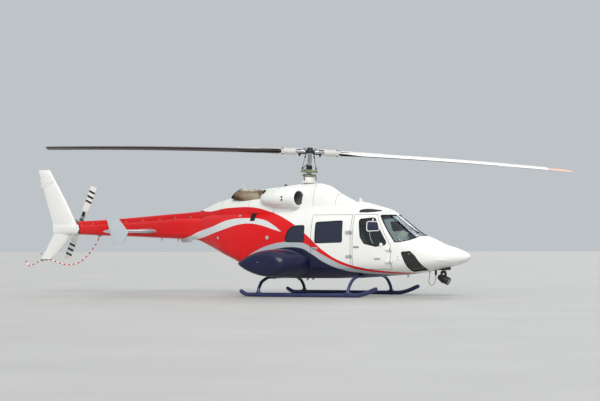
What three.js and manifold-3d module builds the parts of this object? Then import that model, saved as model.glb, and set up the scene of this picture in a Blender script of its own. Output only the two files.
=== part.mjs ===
// Twin-turbine light helicopter parked on its skids.
// Millimetres, +X to the nose, +Y to port, +Z up. Sizes are given in the rotor frame,
// whose origin is on the ground below the main rotor hub, and the whole group is then
// moved so that the middle of the overall box stands over the origin.
import * as THREE from 'three';
import { mergeVertices } from 'three/addons/utils/BufferGeometryUtils.js';
import Module from 'manifold-3d';

const wasm = await Module();
wasm.setup();

// Driving dimensions
const BOX_MIDDLE_X = -1272.02;
const WALL = 45;
const TOUCH_GAP = 0.3;
const SEAT_GAP = 1.5;
const DOOR_GAP = 9;
const DOOR_THICKNESS = 38;
const DOOR_LIP = { thickness: 18, width: 16 };
const GLASS_DEPTH = 14;
const GLASS_THICKNESS = 8;
const PANE_GAP = 1;
const RING_POINTS = 28;
const SNAP = 2 ** -8;
const SLIVER = 0.05;

const FLOOR_Z = 740;
const ROOF_SPLIT_Z = 1975;
const CABIN_AFT_X = -1000;
const FRAME_SPLIT_X = 2095;
const FOOTWELL_X = 2560;
const CAVITY_FRONT_X = 3240;
const NOSE_SPLIT_X = 3320;

const ROTOR_RADIUS = 6400;
const ROTOR_HEIGHT = 3486;
const ROTOR_TILT = THREE.MathUtils.degToRad(3.24);
const BLADE_AZIMUTH = THREE.MathUtils.degToRad(28.6);
const BLADE_DROOP = 173;
const BLADE_ROOT_R = 700;
const BLADE_PITCH = THREE.MathUtils.degToRad(5);

const TAIL_ROTOR = { x: -6950, y: 450, z: 1810, radius: 1050 };
const TAIL_BLADE_LEAN = THREE.MathUtils.degToRad(24.5);

const SKID = { y: 1220, radius: 52, centreZ: 50, shoeHalf: 24, shoeThickness: 12 };
const CROSS_TUBES = { front: { x: 1587, z: 480 }, rear: { x: -797, z: 452 } };
const CROSS_TUBE_RADIUS = 38;

const EXHAUST = { y: 350, radius: 155, wall: 12, closedEnd: 40 };
// The exhaust's middle line as x and z, and the lowest and highest points of its slanting rim
const EXHAUST_LINE = [[-1050, 2425], [-1350, 2425], [-1600, 2436], [-1800, 2478], [-2060, 2575]];
const EXHAUST_RIM = { low: [-1968, 2378], high: [-1689, 2610] };
const COWLING_HOLLOW = { wall: 35, aft: -2400, front: 1000, below: 300 };
const INTAKE = { y: 545, z: 2362, radius: 222, mouth: 165, lipX: 70, depth: 380 };
const MAST_HOLE_RADIUS = 120;
const MAST_BASE = { foot: -960, radius: 112 };

const SPAN_HALF = 1660;
const GUARD_RADIUS = 15;

const LAMP = { x: 3500, z: 415, radius: 92, half: 150, pitch: THREE.MathUtils.degToRad(24) };
const CABLE_RADIUS = 6;

// The cable's middle line, from its gland in the belly to the searchlight's mount
const CABLE_ROUTE = [[3150, 0, 567.6], [3149, 0, 545], [3143, 0, 500], [3132, 0, 445], [3123, 0, 390],
  [3124, 0, 340], [3140, 0, 298], [3170, 0, 272], [3206, 0, 266], [3240, 0, 282], [3266, 0, 318],
  [3284, 0, 365], [3297, 0, 415], [3303, 0, 465], [3304, 0, 504.6]];

// Body sections: x, belly z, top z, half width, z of greatest width, upper power, lower power
const HULL = [
  [-2950, 1300, 1930, 285, 1640, 2.8, 2.8],
  [-2800, 1236, 2000, 335, 1610, 2.8, 2.9],
  [-2500, 1114, 2060, 470, 1500, 2.7, 3.2],
  [-2150, 968, 2090, 630, 1350, 2.6, 3.5],
  [-1880, 860, 2120, 700, 1260, 2.6, 3.6],
  [-1540, 695, 2150, 755, 1170, 2.6, 3.6],
  [-1250, 552, 2172, 772, 1120, 2.6, 3.4],
  [-980, 430, 2190, 785, 1100, 2.6, 3.2],
  [-300, 420, 2210, 790, 1080, 2.6, 3.2],
  [790, 422, 2260, 790, 1080, 2.6, 3.2],
  [1360, 445, 2262, 790, 1070, 2.6, 3.2],
  [1850, 470, 2151, 790, 1050, 2.6, 3.1],
  [2090, 482, 2082, 786, 1035, 2.6, 3.0],
  [2360, 500, 1909, 772, 1015, 2.8, 2.9],
  [2560, 516, 1756, 754, 1000, 2.8, 2.8],
  [2760, 535, 1594, 730, 985, 2.8, 2.7],
  [2950, 558, 1466, 700, 968, 2.8, 2.6],
  [3130, 585, 1403, 665, 955, 2.6, 2.5],
  [3510, 665, 1239, 550, 940, 2.3, 2.4],
  [3800, 730, 1152, 420, 935, 2.2, 2.3],
  [4020, 790, 1070, 270, 935, 2.1, 2.2],
  [4140, 850, 1010, 150, 935, 2.0, 2.1],
  [4190, 905, 970, 60, 938, 2.0, 2.0],
];

// Tail boom sections, with the columns of HULL
const BOOM = [
  [-6670, 1520, 1765, 160, 1640, 2.8, 2.8],
  [-6060, 1490, 1785, 180, 1640, 2.8, 2.8],
  [-5150, 1460, 1830, 208, 1640, 2.8, 2.8],
  [-4200, 1415, 1885, 238, 1640, 2.8, 2.8],
  [-3400, 1375, 1930, 268, 1640, 2.8, 2.8],
  [-3080, 1352, 1930, 279, 1640, 2.8, 2.8],
  [-2950, 1300, 1930, 285, 1640, 2.8, 2.8],
];

// Cover over the tail rotor's drive shaft, with the columns of HULL
const SHAFT_COVER = [
  [-6660, 1700, 1860, 95, 1730, 3.2, 3],
  [-6060, 1720, 1880, 100, 1750, 3.2, 3],
  [-5150, 1760, 1930, 105, 1790, 3.2, 3],
  [-3970, 1840, 2012, 112, 1870, 3.2, 3],
  [-3380, 1870, 2050, 118, 1900, 3.2, 3],
  [-3080, 1880, 2075, 125, 1910, 3.0, 3],
];

// Pylon fairing over the rotor gearbox and engines, with the columns of HULL
const COWLING = [
  [-3070, 1880, 2080, 125, 1950, 2.8, 3],
  [-2750, 1900, 2210, 235, 1960, 2.6, 3],
  [-2530, 1920, 2305, 305, 1970, 2.5, 3],
  [-2200, 1940, 2385, 395, 1985, 2.5, 3],
  [-1700, 1960, 2500, 490, 2000, 2.5, 3],
  [-1160, 1980, 2610, 545, 2020, 2.5, 3],
  [-690, 1990, 2660, 550, 2040, 2.5, 3],
  [-60, 2000, 2720, 480, 2060, 2.5, 3],
  [180, 2010, 2725, 420, 2070, 2.5, 3],
  [470, 2020, 2681, 385, 2080, 2.4, 3],
  [860, 2040, 2450, 345, 2090, 2.4, 3],
  [1050, 2050, 2350, 318, 2095, 2.4, 3],
  [1230, 2060, 2262, 290, 2100, 2.4, 3],
];

// Openings in the side of the cabin, as x and z corners
const CREW_DOOR = [[1500, 660], [2470, 660], [2470, 1215], [2035, 1945], [1500, 1945]];
const CABIN_DOOR = [[400, 660], [1440, 660], [1440, 1945], [400, 1945]];
const CREW_WINDOW = [[1800, 1265], [2110, 1195], [2340, 1232], [2365, 1285], [2030, 1840], [1975, 1868],
  [1665, 1840], [1640, 1790], [1700, 1420]];
const CABIN_WINDOW = [[530, 1280], [1195, 1300], [1222, 1330], [1205, 1775], [1175, 1805], [540, 1772],
  [505, 1735], [505, 1310]];
const QUARTER_WINDOW = [[-290, 1312], [175, 1305], [208, 1335], [200, 1670], [175, 1702], [-20, 1695],
  [-150, 1655], [-235, 1570], [-285, 1440]];
const WINDSHIELD = [[2128, 1918], [2573, 1298], [2682, 1302], [2796, 1322], [2905, 1350], [2990, 1390],
  [3010, 1425], [3080, 1520], [2700, 2000], [2400, 1931], [2138, 1931]];
const CHIN_WINDOW = [[2735, 1060], [2850, 740], [2920, 600], [3265, 640], [3060, 960], [2945, 1072]];
const SKYLIGHT = [[1590, 562], [1773, 522], [1950, 460], [2068, 372], [2070, 345], [1965, 380], [1815, 418],
  [1695, 470], [1600, 522]];
const CENTRE_POST_HALF = 60;

const FINISH = {
  white_paint: { color: 0xf2f3f1, roughness: 0.35, metalness: 0.0 },
  red_paint: { color: 0xc4141c, roughness: 0.35, metalness: 0.0 },
  navy_paint: { color: 0x141c3c, roughness: 0.3, metalness: 0.0 },
  silver_paint: { color: 0xa8b2ba, roughness: 0.4, metalness: 0.3 },
  skid_paint: { color: 0x2a3458, roughness: 0.4, metalness: 0.2 },
  dark_glazing: { color: 0x101820, roughness: 0.08, metalness: 0.0 },
  clear_glazing: { color: 0x5c6c6c, roughness: 0.06, metalness: 0.0 },
  heat_tinted_steel: { color: 0x8a7462, roughness: 0.45, metalness: 0.9 },
  machined_alloy: { color: 0x9ea3a6, roughness: 0.4, metalness: 0.9 },
  dark_alloy: { color: 0x3c4043, roughness: 0.5, metalness: 0.7 },
  blade_skin: { color: 0xe6e6e2, roughness: 0.45, metalness: 0.0 },
  striped_tube: { color: 0xd8c8c0, roughness: 0.4, metalness: 0.0 },
  cabin_trim: { color: 0x4a4e52, roughness: 0.8, metalness: 0.0 },
  seat_cloth: { color: 0x2c3036, roughness: 0.9, metalness: 0.0 },
  black_plastic: { color: 0x151515, roughness: 0.5, metalness: 0.0 },
  cable_rubber: { color: 0x1c1c1c, roughness: 0.7, metalness: 0.0 },
};

const helicopter = new THREE.Group();
helicopter.position.x = -BOX_MIDDLE_X;

// Solids

function solidOf(geometry) {
  const bare = geometry.clone();
  bare.deleteAttribute('normal');
  bare.deleteAttribute('uv');
  const positions = bare.attributes.position.array;
  positions.forEach((value, i) => { positions[i] = Math.round(value / SNAP) * SNAP; });
  const merged = mergeVertices(bare, SNAP / 4);
  const vertProperties = new Float32Array(merged.attributes.position.array);
  const corners = [...merged.index.array];
  const facing = (order) => new wasm.Manifold(new wasm.Mesh({
    numProp: 3,
    vertProperties,
    triVerts: new Uint32Array(corners.map((_, i) => corners[i - (i % 3) + order[i % 3]])),
  }));
  const solid = facing([0, 1, 2]);
  return solid.volume() > 0 ? solid : facing([0, 2, 1]);
}

function geometryOf(solid) {
  const mesh = solid.simplify(SLIVER).getMesh();
  const geometry = new THREE.BufferGeometry();
  geometry.setAttribute('position', new THREE.BufferAttribute(new Float32Array(mesh.vertProperties), 3));
  geometry.setIndex(new THREE.BufferAttribute(new Uint32Array(mesh.triVerts), 1));
  geometry.computeVertexNormals();
  return geometry;
}

function add(name, solid, finish, parent = helicopter) {
  const mesh = new THREE.Mesh(geometryOf(solid), new THREE.MeshStandardMaterial(FINISH[finish]));
  mesh.name = name;
  parent.add(mesh);
  return mesh;
}

function box(x0, x1, y0, y1, z0, z1) {
  const geometry = new THREE.BoxGeometry(x1 - x0, y1 - y0, z1 - z0);
  return solidOf(geometry.translate((x0 + x1) / 2, (y0 + y1) / 2, (z0 + z1) / 2));
}

function cylinderAlong(axis, centre, radius, length, sides = 20, endRadius = radius) {
  const geometry = new THREE.CylinderGeometry(endRadius, radius, length, sides);
  if (axis === 'x') geometry.rotateZ(-Math.PI / 2);
  if (axis === 'z') geometry.rotateX(Math.PI / 2);
  return solidOf(geometry.translate(...centre));
}

function turned(profile, sides = 28) {
  const points = profile.map(([r, z]) => new THREE.Vector2(r, z));
  return solidOf(new THREE.LatheGeometry(points, sides).rotateX(Math.PI / 2));
}

// A prism whose outline lies in the x-z plane, between two y values
function sidePrism(outline, y0, y1) {
  const shape = new THREE.Shape(outline.map(([x, z]) => new THREE.Vector2(x, z)));
  const geometry = new THREE.ExtrudeGeometry(shape, { depth: y1 - y0, bevelEnabled: false });
  return solidOf(geometry.rotateX(Math.PI / 2).translate(0, y1, 0));
}

// A prism whose outline lies in the x-y plane, between two z values
function planPrism(outline, z0, z1) {
  const shape = new THREE.Shape(outline.map(([x, y]) => new THREE.Vector2(x, y)));
  const geometry = new THREE.ExtrudeGeometry(shape, { depth: z1 - z0, bevelEnabled: false });
  return solidOf(geometry.translate(0, 0, z0));
}

// Moves every edge of a convex-looking outline outwards by a distance
function grownOutline(outline, distance) {
  const signedArea = outline.reduce((sum, [x, z], i) => {
    const [nextX, nextZ] = outline[(i + 1) % outline.length];
    return sum + x * nextZ - nextX * z;
  }, 0);
  const side = Math.sign(signedArea);
  return outline.map((corner, i) => {
    const before = outline[(i + outline.length - 1) % outline.length];
    const after = outline[(i + 1) % outline.length];
    const inward = new THREE.Vector2(corner[0] - before[0], corner[1] - before[1]).normalize();
    const onward = new THREE.Vector2(after[0] - corner[0], after[1] - corner[1]).normalize();
    const normalIn = new THREE.Vector2(inward.y, -inward.x).multiplyScalar(side);
    const normalOn = new THREE.Vector2(onward.y, -onward.x).multiplyScalar(side);
    const mitre = normalIn.clone().add(normalOn).normalize();
    const reach = distance / mitre.dot(normalOn);
    return [corner[0] + mitre.x * reach, corner[1] + mitre.y * reach];
  });
}

// A closed body through rings of equal point count, its facets alike on both sides
function loft(rings) {
  const count = rings[0].length;
  const positions = [];
  const index = [];
  rings.forEach((ring) => ring.forEach((point) => positions.push(...point)));
  for (let r = 0; r + 1 < rings.length; r++) {
    for (let k = 0; k < count; k++) {
      const a = r * count + k;
      const b = r * count + ((k + 1) % count);
      const isPort = k < count / 4 || k >= (3 * count) / 4;
      index.push(...(isPort ? [a, b, b + count, a, b + count, a + count]
        : [a, b, a + count, b, b + count, a + count]));
    }
  }
  [0, rings.length - 1].forEach((r) => {
    const middle = positions.length / 3;
    const centre = [0, 1, 2].map((axis) => rings[r].reduce((sum, p) => sum + p[axis], 0) / count);
    positions.push(...centre);
    for (let k = 0; k < count; k++) {
      const a = r * count + k;
      const b = r * count + ((k + 1) % count);
      index.push(...(r === 0 ? [middle, b, a] : [middle, a, b]));
    }
  });
  const geometry = new THREE.BufferGeometry();
  geometry.setAttribute('position', new THREE.Float32BufferAttribute(positions, 3));
  geometry.setIndex(index);
  return solidOf(geometry);
}

// Monotone cubic through a table's rows, so that a section can be read at any x
function sectionReader(table) {
  const xs = table.map((row) => row[0]);
  const columns = [1, 2, 3, 4, 5, 6].map((c) => table.map((row) => row[c]));
  const slopes = columns.map((ys) => {
    const steps = ys.slice(1).map((y, i) => (y - ys[i]) / (xs[i + 1] - xs[i]));
    return ys.map((_, i) => {
      if (i === 0) return steps[0];
      if (i === ys.length - 1) return steps[i - 1];
      if (steps[i - 1] * steps[i] <= 0) return 0;
      return 2 / (1 / steps[i - 1] + 1 / steps[i]);
    });
  });
  return (x) => {
    let i = 0;
    while (i < xs.length - 2 && x > xs[i + 1]) i++;
    const span = xs[i + 1] - xs[i];
    const t = (x - xs[i]) / span;
    return columns.map((ys, c) => {
      const h00 = (1 + 2 * t) * (1 - t) * (1 - t);
      const h10 = t * (1 - t) * (1 - t);
      const h01 = t * t * (3 - 2 * t);
      const h11 = t * t * (t - 1);
      return h00 * ys[i] + h10 * span * slopes[c][i] + h01 * ys[i + 1] + h11 * span * slopes[c][i + 1];
    });
  };
}

// One superellipse ring of a section, drawn in from the outside by inset
function sectionRing(x, [bottom, top, half, wide, upperPower, lowerPower], inset) {
  const ring = [];
  for (let k = 0; k < RING_POINTS; k++) {
    const angle = (2 * Math.PI * k) / RING_POINTS;
    const c = Math.cos(angle);
    const s = Math.sin(angle);
    const power = s >= 0 ? upperPower : lowerPower;
    const reach = s >= 0 ? top - inset - wide : wide - bottom - inset;
    ring.push([
      x,
      (half - inset) * Math.sign(c) * Math.abs(c) ** (2 / power),
      wide + reach * Math.sign(s) * Math.abs(s) ** (2 / power),
    ]);
  }
  return ring;
}

function sectionLoft(table, inset = 0, from = table[0][0], to = table[table.length - 1][0]) {
  const read = sectionReader(table);
  const xs = [from, ...table.map((row) => row[0]).filter((x) => x > from && x < to), to];
  return loft(xs.map((x) => sectionRing(x, read(x), inset)));
}

// An aerofoil ring: blunt leading edge, thin trailing edge
function foilRing(place, leading, trailing, thickness, points = 8) {
  const ring = [];
  const height = (u) => (thickness / 2) * (Math.sqrt(u) * (1 - u) ** 0.8) / 0.4206;
  for (let k = 0; k <= points; k++) {
    const u = (1 - Math.cos((Math.PI * k) / points)) / 2;
    ring.push(place(leading + (trailing - leading) * u, k === points ? thickness * 0.04 : height(u)));
  }
  for (let k = points; k > 0; k--) {
    const u = (1 - Math.cos((Math.PI * k) / points)) / 2;
    ring.push(place(leading + (trailing - leading) * u, k === points ? -thickness * 0.04 : -height(u)));
  }
  return ring;
}

function tubeAlong(points, radius, sides = 12, steps = 40, rounding = 'catmullrom') {
  const curve = new THREE.CatmullRomCurve3(points.map((p) => new THREE.Vector3(...p)), false, rounding, 0.5);
  const circle = new THREE.Shape();
  for (let k = 0; k < sides; k++) {
    const angle = (2 * Math.PI * (k + 0.5)) / sides;
    const [x, y] = [radius * Math.cos(angle), radius * Math.sin(angle)];
    if (k === 0) circle.moveTo(x, y);
    else circle.lineTo(x, y);
  }
  circle.closePath();
  return solidOf(new THREE.ExtrudeGeometry(circle, { steps, extrudePath: curve }));
}

const mirrored = (solid) => solid.mirror([0, 1, 0]);
const both = [['right', (solid) => solid], ['left', mirrored]];

// Body shell, measured inwards from the outer skin

const outer = sectionLoft(HULL);
const aroundOuter = sectionLoft(HULL, -TOUCH_GAP);
const inner = sectionLoft(HULL, WALL, -2890, 3500);
const innerFit = sectionLoft(HULL, WALL + TOUCH_GAP, -2890, 3500);
const glassLayer = sectionLoft(HULL, GLASS_DEPTH, -1400, 3500)
  .subtract(sectionLoft(HULL, GLASS_DEPTH + GLASS_THICKNESS, -1450, 3550));

const acrossRight = (outline) => sidePrism(outline, -1000, -150);
const doorHole = (outline) => acrossRight(grownOutline(outline, DOOR_GAP));
const doorHoles = doorHole(CREW_DOOR).add(doorHole(CABIN_DOOR));
const windshieldHole = sidePrism(WINDSHIELD, -900, -CENTRE_POST_HALF);
const chinHole = sidePrism(CHIN_WINDOW, -900, -250);
const quarterHole = acrossRight(QUARTER_WINDOW);
const skylightHole = planPrism(SKYLIGHT.map(([x, y]) => [x, -y]), 1700, 2400);

function pane(outline, prism) {
  return glassLayer.intersect(prism(grownOutline(outline, -PANE_GAP)));
}

const cavity = inner.intersect(box(CABIN_AFT_X, CAVITY_FRONT_X, -900, 900, FLOOR_Z, 2600)
  .add(box(FOOTWELL_X, CAVITY_FRONT_X, -900, 900, 300, FLOOR_Z + 1)));
const cabinShell = outer.subtract(cavity);
const skin = sectionLoft(HULL, -2).subtract(inner);
const doorSkin = outer.subtract(sectionLoft(HULL, DOOR_THICKNESS, -2890, 3500));
const doorLip = outer.subtract(sectionLoft(HULL, DOOR_LIP.thickness, -2890, 3500));

// Cross tubes, which the belly is recessed for

function crossTubePath({ x, z }) {
  const side = [[SKID.y + 5, 92], [SKID.y - 15, 180], [SKID.y - 70, 252], [SKID.y - 170, 345],
    [SKID.y - 290, z - 62], [SKID.y - 420, z - 22], [SKID.y - 560, z], [SKID.y - 820, z]];
  const port = side.map(([y, height]) => [x, y, height]);
  return [...port, [x, 0, z], ...port.map(([px, y, height]) => [px, -y, height]).reverse()];
}

const crossTubeRecess = Object.values(CROSS_TUBES)
  .map((tube) => tubeAlong(crossTubePath(tube), CROSS_TUBE_RADIUS + 2.5, 10, 30))
  .reduce((a, b) => a.add(b));

// Cabin panels

function buildCabin() {
  const bothDoorHoles = doorHoles.add(mirrored(doorHoles));
  const bothChins = chinHole.add(mirrored(chinHole));
  const belly = outer.intersect(box(CABIN_AFT_X + TOUCH_GAP, NOSE_SPLIT_X, -900, 900, 300, FLOOR_Z))
    .subtract(cavity).subtract(bothDoorHoles.intersect(skin)).subtract(bothChins)
    .subtract(crossTubeRecess).add(cylinderAlong('z', [CABLE_ROUTE[0][0], 0, 598], 14, 60, 10));
  add('belly_tub', belly, 'navy_paint');

  const bothWindshields = windshieldHole.add(mirrored(windshieldHole));
  const frame = cabinShell
    .intersect(box(FRAME_SPLIT_X + TOUCH_GAP, NOSE_SPLIT_X, -900, 900, FLOOR_Z + TOUCH_GAP, 2600))
    .subtract(bothDoorHoles).subtract(bothWindshields).subtract(bothChins);
  add('windshield_frame', frame, 'white_paint');

  const bothSkylights = skylightHole.add(mirrored(skylightHole));
  const roof = cabinShell
    .intersect(box(CABIN_AFT_X + TOUCH_GAP, FRAME_SPLIT_X, -900, 900, ROOF_SPLIT_Z + TOUCH_GAP, 2600))
    .subtract(bothSkylights);
  add('cabin_roof', roof, 'white_paint');

  const sideWall = cabinShell
    .intersect(box(CABIN_AFT_X + TOUCH_GAP, FRAME_SPLIT_X, -900, 0, FLOOR_Z + TOUCH_GAP, ROOF_SPLIT_Z))
    .subtract(doorHoles).subtract(quarterHole).subtract(skylightHole);
  const windshield = pane(WINDSHIELD, (o) => sidePrism(o, -900, -CENTRE_POST_HALF - PANE_GAP));
  const skylight = pane(SKYLIGHT.map(([x, y]) => [x, -y]), (o) => planPrism(o, 1700, 2400));
  const quarter = pane(QUARTER_WINDOW, acrossRight);
  const chin = pane(CHIN_WINDOW, (o) => sidePrism(o, -900, -250 - PANE_GAP));
  both.forEach(([side, place]) => {
    add(`side_wall_${side}`, place(sideWall), 'white_paint');
    add(`windshield_${side}`, place(windshield), 'clear_glazing');
    add(`skylight_${side}`, place(skylight), 'dark_glazing');
    add(`quarter_window_${side}`, place(quarter), 'dark_glazing');
    add(`chin_window_${side}`, place(chin), 'dark_glazing');
  });
}

// Doors, each with its own pane, hinged on their front edges

function buildDoors() {
  const doors = [
    ['crew_door', CREW_DOOR, CREW_WINDOW, 'clear_glazing'],
    ['cabin_door', CABIN_DOOR, CABIN_WINDOW, 'dark_glazing'],
  ];
  doors.forEach(([name, outline, opening, glazing]) => {
    const lip = doorLip.intersect(acrossRight(outline));
    const panel = doorSkin.intersect(acrossRight(grownOutline(outline, -DOOR_LIP.width))).add(lip)
      .subtract(acrossRight(opening));
    const glass = pane(opening, acrossRight);
    both.forEach(([side, place]) => {
      add(`${name}_${side}`, place(panel), 'white_paint');
      add(`${name}_pane_${side}`, place(glass), glazing);
    });
  });
}

// Nose, aft body, boom and tail

function buildBody() {
  const nose = outer.intersect(box(NOSE_SPLIT_X + TOUCH_GAP, 4300, -900, 900, 300, 2600));
  add('nose_cone', nose, 'white_paint');

  const aftCavity = inner.intersect(box(-2880, CABIN_AFT_X + 50, -900, 900, 300, 2600));
  const aftBody = outer.subtract(aftCavity).intersect(box(-3000, CABIN_AFT_X, -900, 900, 300, 2600));
  add('aft_body', aftBody, 'red_paint');
  const bulkhead = innerFit.intersect(box(-1040, CABIN_AFT_X - TOUCH_GAP, -900, 900, 300, 2600));
  add('aft_bulkhead', bulkhead, 'cabin_trim');

  const boomOuter = sectionLoft(BOOM);
  const boomInner = sectionLoft(BOOM, 30, -6600, -2950).add(sectionLoft(BOOM, 30, -3100, -2950)
    .translate([20, 0, 0]));
  const boom = boomOuter.subtract(boomInner).translate([-TOUCH_GAP, 0, 0]);
  add('tail_boom', boom, 'red_paint');
  const aroundBoom = sectionLoft(BOOM, -2 * TOUCH_GAP);
  const cover = sectionLoft(SHAFT_COVER).subtract(aroundBoom);
  add('drive_shaft_cover', cover, 'red_paint');
}

function buildTail() {
  // Fin sections from top to root and from root to bottom: z, leading x, trailing x, thickness
  const upper = [[3200, -7590, -7950, 60], [3175, -7582, -7945, 84], [2400, -7105, -7700, 110],
    [1840, -6800, -7520, 140], [1600, -6690, -7440, 150]];
  const lower = [[1600, -6860, -7440, 150], [1320, -7080, -7600, 120], [1060, -7330, -7760, 96],
    [880, -7560, -7885, 76]];
  const flatFoil = ([z, leading, trailing, thickness]) =>
    foilRing((x, y) => [x, y, z], leading, trailing, thickness);
  const root = sectionLoft([
    [-7480, 1520, 1790, 36, 1640, 2.4, 2.4],
    [-7200, 1512, 1785, 92, 1640, 2.6, 2.6],
    [-6900, 1510, 1775, 142, 1640, 2.8, 2.8],
    [-6672, 1512, 1768, 162, 1640, 2.8, 2.8],
  ]);
  const fin = loft(upper.map(flatFoil)).add(loft(lower.map(flatFoil))).add(root)
    .trimByPlane([-1, 0, 0], 6672);
  add('tail_fin', fin, 'white_paint');

  const gearbox = cylinderAlong('y', [TAIL_ROTOR.x, 195, TAIL_ROTOR.z], 105, 300, 18)
    .add(cylinderAlong('y', [TAIL_ROTOR.x, 360, TAIL_ROTOR.z], 60, 40, 18))
    .subtract(roomForFin(upper, lower, root));
  add('tail_gearbox', gearbox, 'machined_alloy');

  const guard = tubeAlong([[-6056, 0, 1478], [-6170, 0, 1290], [-6400, 0, 1020], [-6670, 0, 812],
    [-6930, 0, 742], [-7200, 0, 752], [-7400, 0, 810], [-7600, 0, 862], [-7885, 0, 842], [-8010, 0, 795],
    [-8170, 0, 722], [-8250, 0, 706], [-8320, 0, 765], [-8370, 0, 840]], GUARD_RADIUS, 6, 34);
  add('tail_guard', guard, 'striped_tube');

  const tailplane = loft([
    foilRing((x, z) => [x, -150, 1592 + z], -4235, -4960, 96),
    foilRing((x, z) => [x, -SPAN_HALF + TOUCH_GAP, 1592 + z], -4270, -4880, 76),
  ]).subtract(sectionLoft(BOOM, -TOUCH_GAP));
  const endPlate = sidePrism([[-4820, 2040], [-4570, 2050], [-4160, 1570], [-4320, 1290], [-4610, 1290]],
    -SPAN_HALF - 28, -SPAN_HALF);
  both.forEach(([side, place]) => {
    add(`tailplane_${side}`, place(tailplane), 'silver_paint');
    add(`end_plate_${side}`, place(endPlate), 'silver_paint');
  });
}

function roomForFin(upper, lower, root) {
  const grow = ([z, leading, trailing, thickness]) =>
    foilRing((x, y) => [x, y, z], leading + 2, trailing - 2, thickness + 2 * TOUCH_GAP);
  return loft(upper.map(grow)).add(loft(lower.map(grow))).add(root.scale([1, 1.01, 1]));
}

// Sponsons beside the cabin's aft end

function buildSponsons() {
  // y, aft x, front x, height, middle z
  const sections = [[-590, -1420, 420, 690, 800], [-1000, -1385, 300, 680, 800],
    [-1300, -1290, 150, 640, 800], [-1480, -1215, 60, 575, 795], [-1560, -1150, -30, 470, 790],
    [-1592, -1040, -170, 300, 785]];
  const sponson = loft(sections.map(([y, aft, front, height, middle]) =>
    foilRing((x, z) => [x, y, middle + z], front, aft, height)))
    .subtract(aroundOuter);
  both.forEach(([side, place]) => add(`sponson_${side}`, place(sponson), 'navy_paint'));
}

// Skids and cross tubes

function skidPath(y) {
  return [[-1285, y, 150], [-1215, y, 100], [-1120, y, 60], [-1030, y, SKID.centreZ], [-500, y, SKID.centreZ],
    [300, y, SKID.centreZ], [1200, y, SKID.centreZ], [1760, y, SKID.centreZ], [1900, y, 62], [2060, y, 104],
    [2200, y, 160], [2330, y, 214]];
}

function buildSkids() {
  const floor = box(-1300, 2400, -1400, 1400, -20, 0);
  const shoe = box(-1000, 1740, -SKID.y - SKID.shoeHalf, -SKID.y + SKID.shoeHalf, 0, SKID.shoeThickness);
  const skid = tubeAlong(skidPath(-SKID.y), SKID.radius, 10, 28).subtract(floor).add(shoe);
  const roomForSkid = tubeAlong(skidPath(-SKID.y), SKID.radius + 0.8, 10, 28);
  both.forEach(([side, place]) => add(`skid_${side}`, place(skid), 'skid_paint'));
  Object.entries(CROSS_TUBES).forEach(([end, path]) => {
    const saddle = box(path.x - 75, path.x + 75, -SKID.y - 62, -SKID.y + 62, 42, 128);
    const tube = tubeAlong(crossTubePath(path), CROSS_TUBE_RADIUS, 10, 30)
      .add(saddle).add(mirrored(saddle))
      .subtract(roomForSkid).subtract(mirrored(roomForSkid));
    add(`cross_tube_${end}`, tube, 'skid_paint');
  });
}

// Pylon fairing, exhausts, engines and gearbox

function exhaustPipe(radius, line = EXHAUST_LINE) {
  return tubeAlong(line.map(([x, z]) => [x, -EXHAUST.y, z]), radius, 20, 12);
}

// One intake's round barrel along the pylon's side, as radius and x
function intakeBarrel() {
  const profile = [[0, INTAKE.lipX], [INTAKE.mouth + 16, INTAKE.lipX], [INTAKE.radius, INTAKE.lipX - 70],
    [INTAKE.radius, -560], [INTAKE.radius - 40, -800], [INTAKE.radius - 110, -1010], [0, -1080]];
  const mouth = cylinderAlong('x', [INTAKE.lipX - INTAKE.depth / 2, 0, 0], INTAKE.mouth, INTAKE.depth, 20);
  const place = (solid) => solid.translate([0, -INTAKE.y, INTAKE.z]);
  return [place(turned(profile, 20).rotate([0, 90, 0])), place(mouth.translate([1, 0, 0]))];
}

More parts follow.
